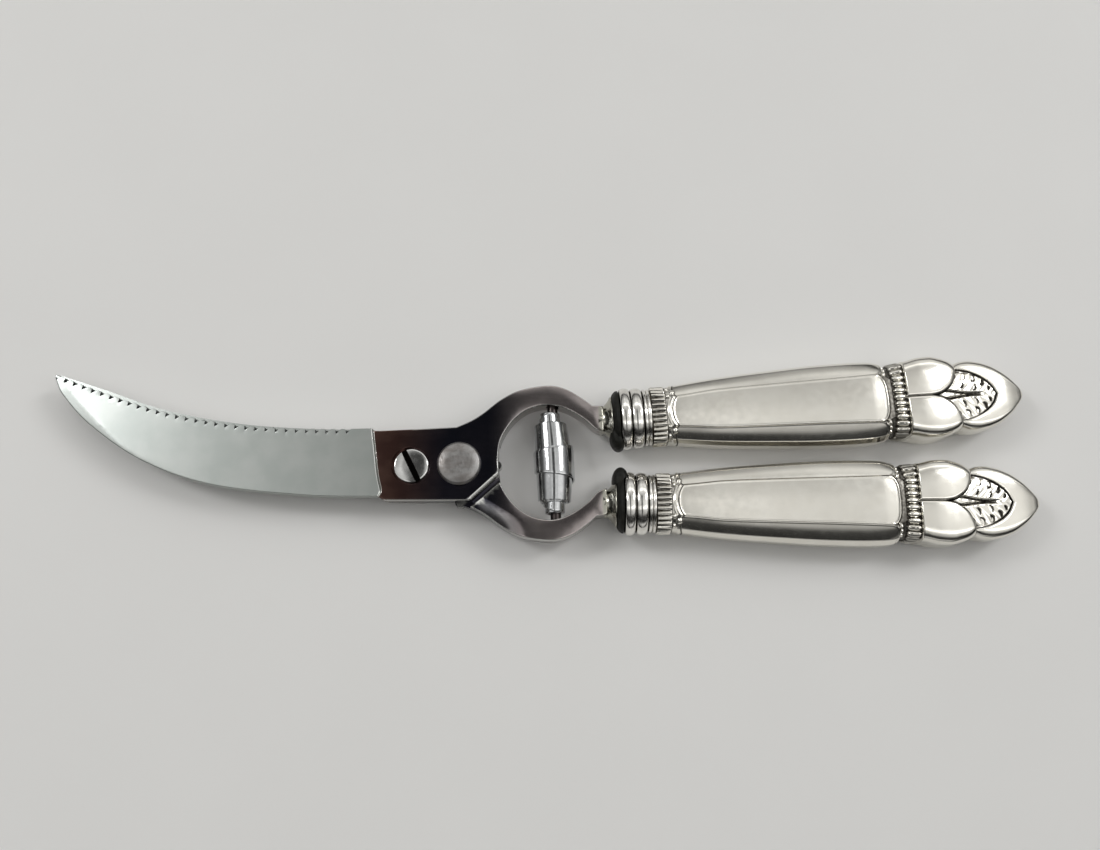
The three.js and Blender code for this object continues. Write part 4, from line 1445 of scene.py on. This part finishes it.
def studio_floor(low):
    """A wide pale sheet under the shears."""
    side = np.linspace(-3000, 3000, 7)
    rows = np.array([[(x, y, low) for x in side] for y in side])
    sheet = made(rows.reshape(-1, 3), quads(numbered(7, 7)), "floor_sheet")
    sheet.data.materials.append(pale_floor())
    sheet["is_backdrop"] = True


def aimed(name, data, place, aim):
    """A lamp or camera at a place, turned towards a point."""
    holder = linked(name, data)
    holder.location = place
    holder.rotation_mode = "QUATERNION"
    holder.rotation_quaternion = (Vector(aim) - Vector(place)).to_track_quat("-Z", "Y")
    return holder


def area_light(name, place, aim, size, power):
    lamp = bpy.data.lights.new(name, "AREA")
    lamp.shape = "RECTANGLE"
    lamp.size, lamp.size_y = size
    lamp.energy = power
    aimed(name, lamp, place, aim)


# how bright the room is at angles from overhead, in degrees: south is negative and north positive
ROOM_LEVELS = [
    (-90, 0.62), (-74, 0.66), (-62, 0.02), (-42, 0.05), (-30, 0.56), (-8, 0.9), (8, 0.98), (17, 0.76),
    (28, 0.62), (46, 0.7), (60, 0.86), (72, 0.44), (90, 0.3),
]


def surroundings():
    """A soft grey room: brightest near overhead, with two bright strips, dim low down and in the west, and
    dark in the small part of the ceiling that hides the camera."""
    world = bpy.data.worlds.new("room")
    bpy.context.scene.world = world
    room = Nodes(world)
    x, y, z = room.axes(room.add("ShaderNodeTexCoord").outputs["Generated"])
    north, east = (room.product(room.math("ARCTAN2", side, z), 180 / math.pi) for side in (y, x))
    ramp = room.add("ShaderNodeValToRGB")
    ramp.color_ramp.interpolation = "EASE"
    room.fill(ramp.inputs["Fac"], room.math("ADD", room.math("DIVIDE", north, 180), 0.5))
    stops = ramp.color_ramp.elements
    while len(stops) < len(ROOM_LEVELS):
        stops.new(0.5)
    for stop, (angle, level) in zip(stops, ROOM_LEVELS):
        stop.position = angle / 180 + 0.5
        stop.color = (level, level, level, 1)
    light = ramp.outputs["Color"]
    for middle_angle, glow in ((-13, 1.3), (42, 1.1)):
        edges = [room.between(north, middle_angle + side * 6, middle_angle + side * 3) for side in (-1, 1)]
        light = room.math("ADD", light, room.product(glow, *edges))

    # each of these takes its share of the light away: low down, in the west, low in the east and the
    # west, in a band in the east, and round the camera
    hidden = [room.between(east, -15, -7), room.between(east, 7, 2)]
    hidden += [room.between(north, 30, 20), room.between(north, -50, -30)]
    for amount, *parts in (
        (0.6, room.between(z, 0.3, 0.05)), (0.42, room.between(east, -12, -24)),
        (0.85, room.between(room.math("ABSOLUTE", east), 50, 74)),
        (0.24, room.between(east, 7, 14), room.between(east, 27, 20)), (0.92, *hidden),
    ):
        light = room.product(light, room.math("SUBTRACT", 1, room.product(amount, *parts)))
    backdrop = room.tree.nodes["Background"]
    room.fill(backdrop.inputs["Strength"], light)
    room.fill(backdrop.inputs["Color"], (1, 0.995, 0.975))


bpy.context.scene.view_settings.view_transform = "Standard"
studio_floor(min(v.z for v in (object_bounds()[0], CAD_BOX[0])) / MM - 0.02)
surroundings()
centre = (CAD_BOX[0] + CAD_BOX[1]) / 2
for side in (-1, 1):
    place = (centre.x + side * 0.75, centre.y + 0.36, 0.8)
    area_light(f"lamp_{side}", place, (centre.x, centre.y, 0), (0.22, 0.4), 2.4)

CAMERA_PLACE, CAMERA_AIM = (0.03704, -0.05746, 0.27664), (0.03919, 0.01120, 0.0052)  # metres
camera_data = bpy.data.cameras.new("camera")
camera_data.lens = 32.14
camera_data.sensor_width = 36
camera_data.clip_start = 0.01
bpy.context.scene.camera = aimed("camera", camera_data, CAMERA_PLACE, CAMERA_AIM)
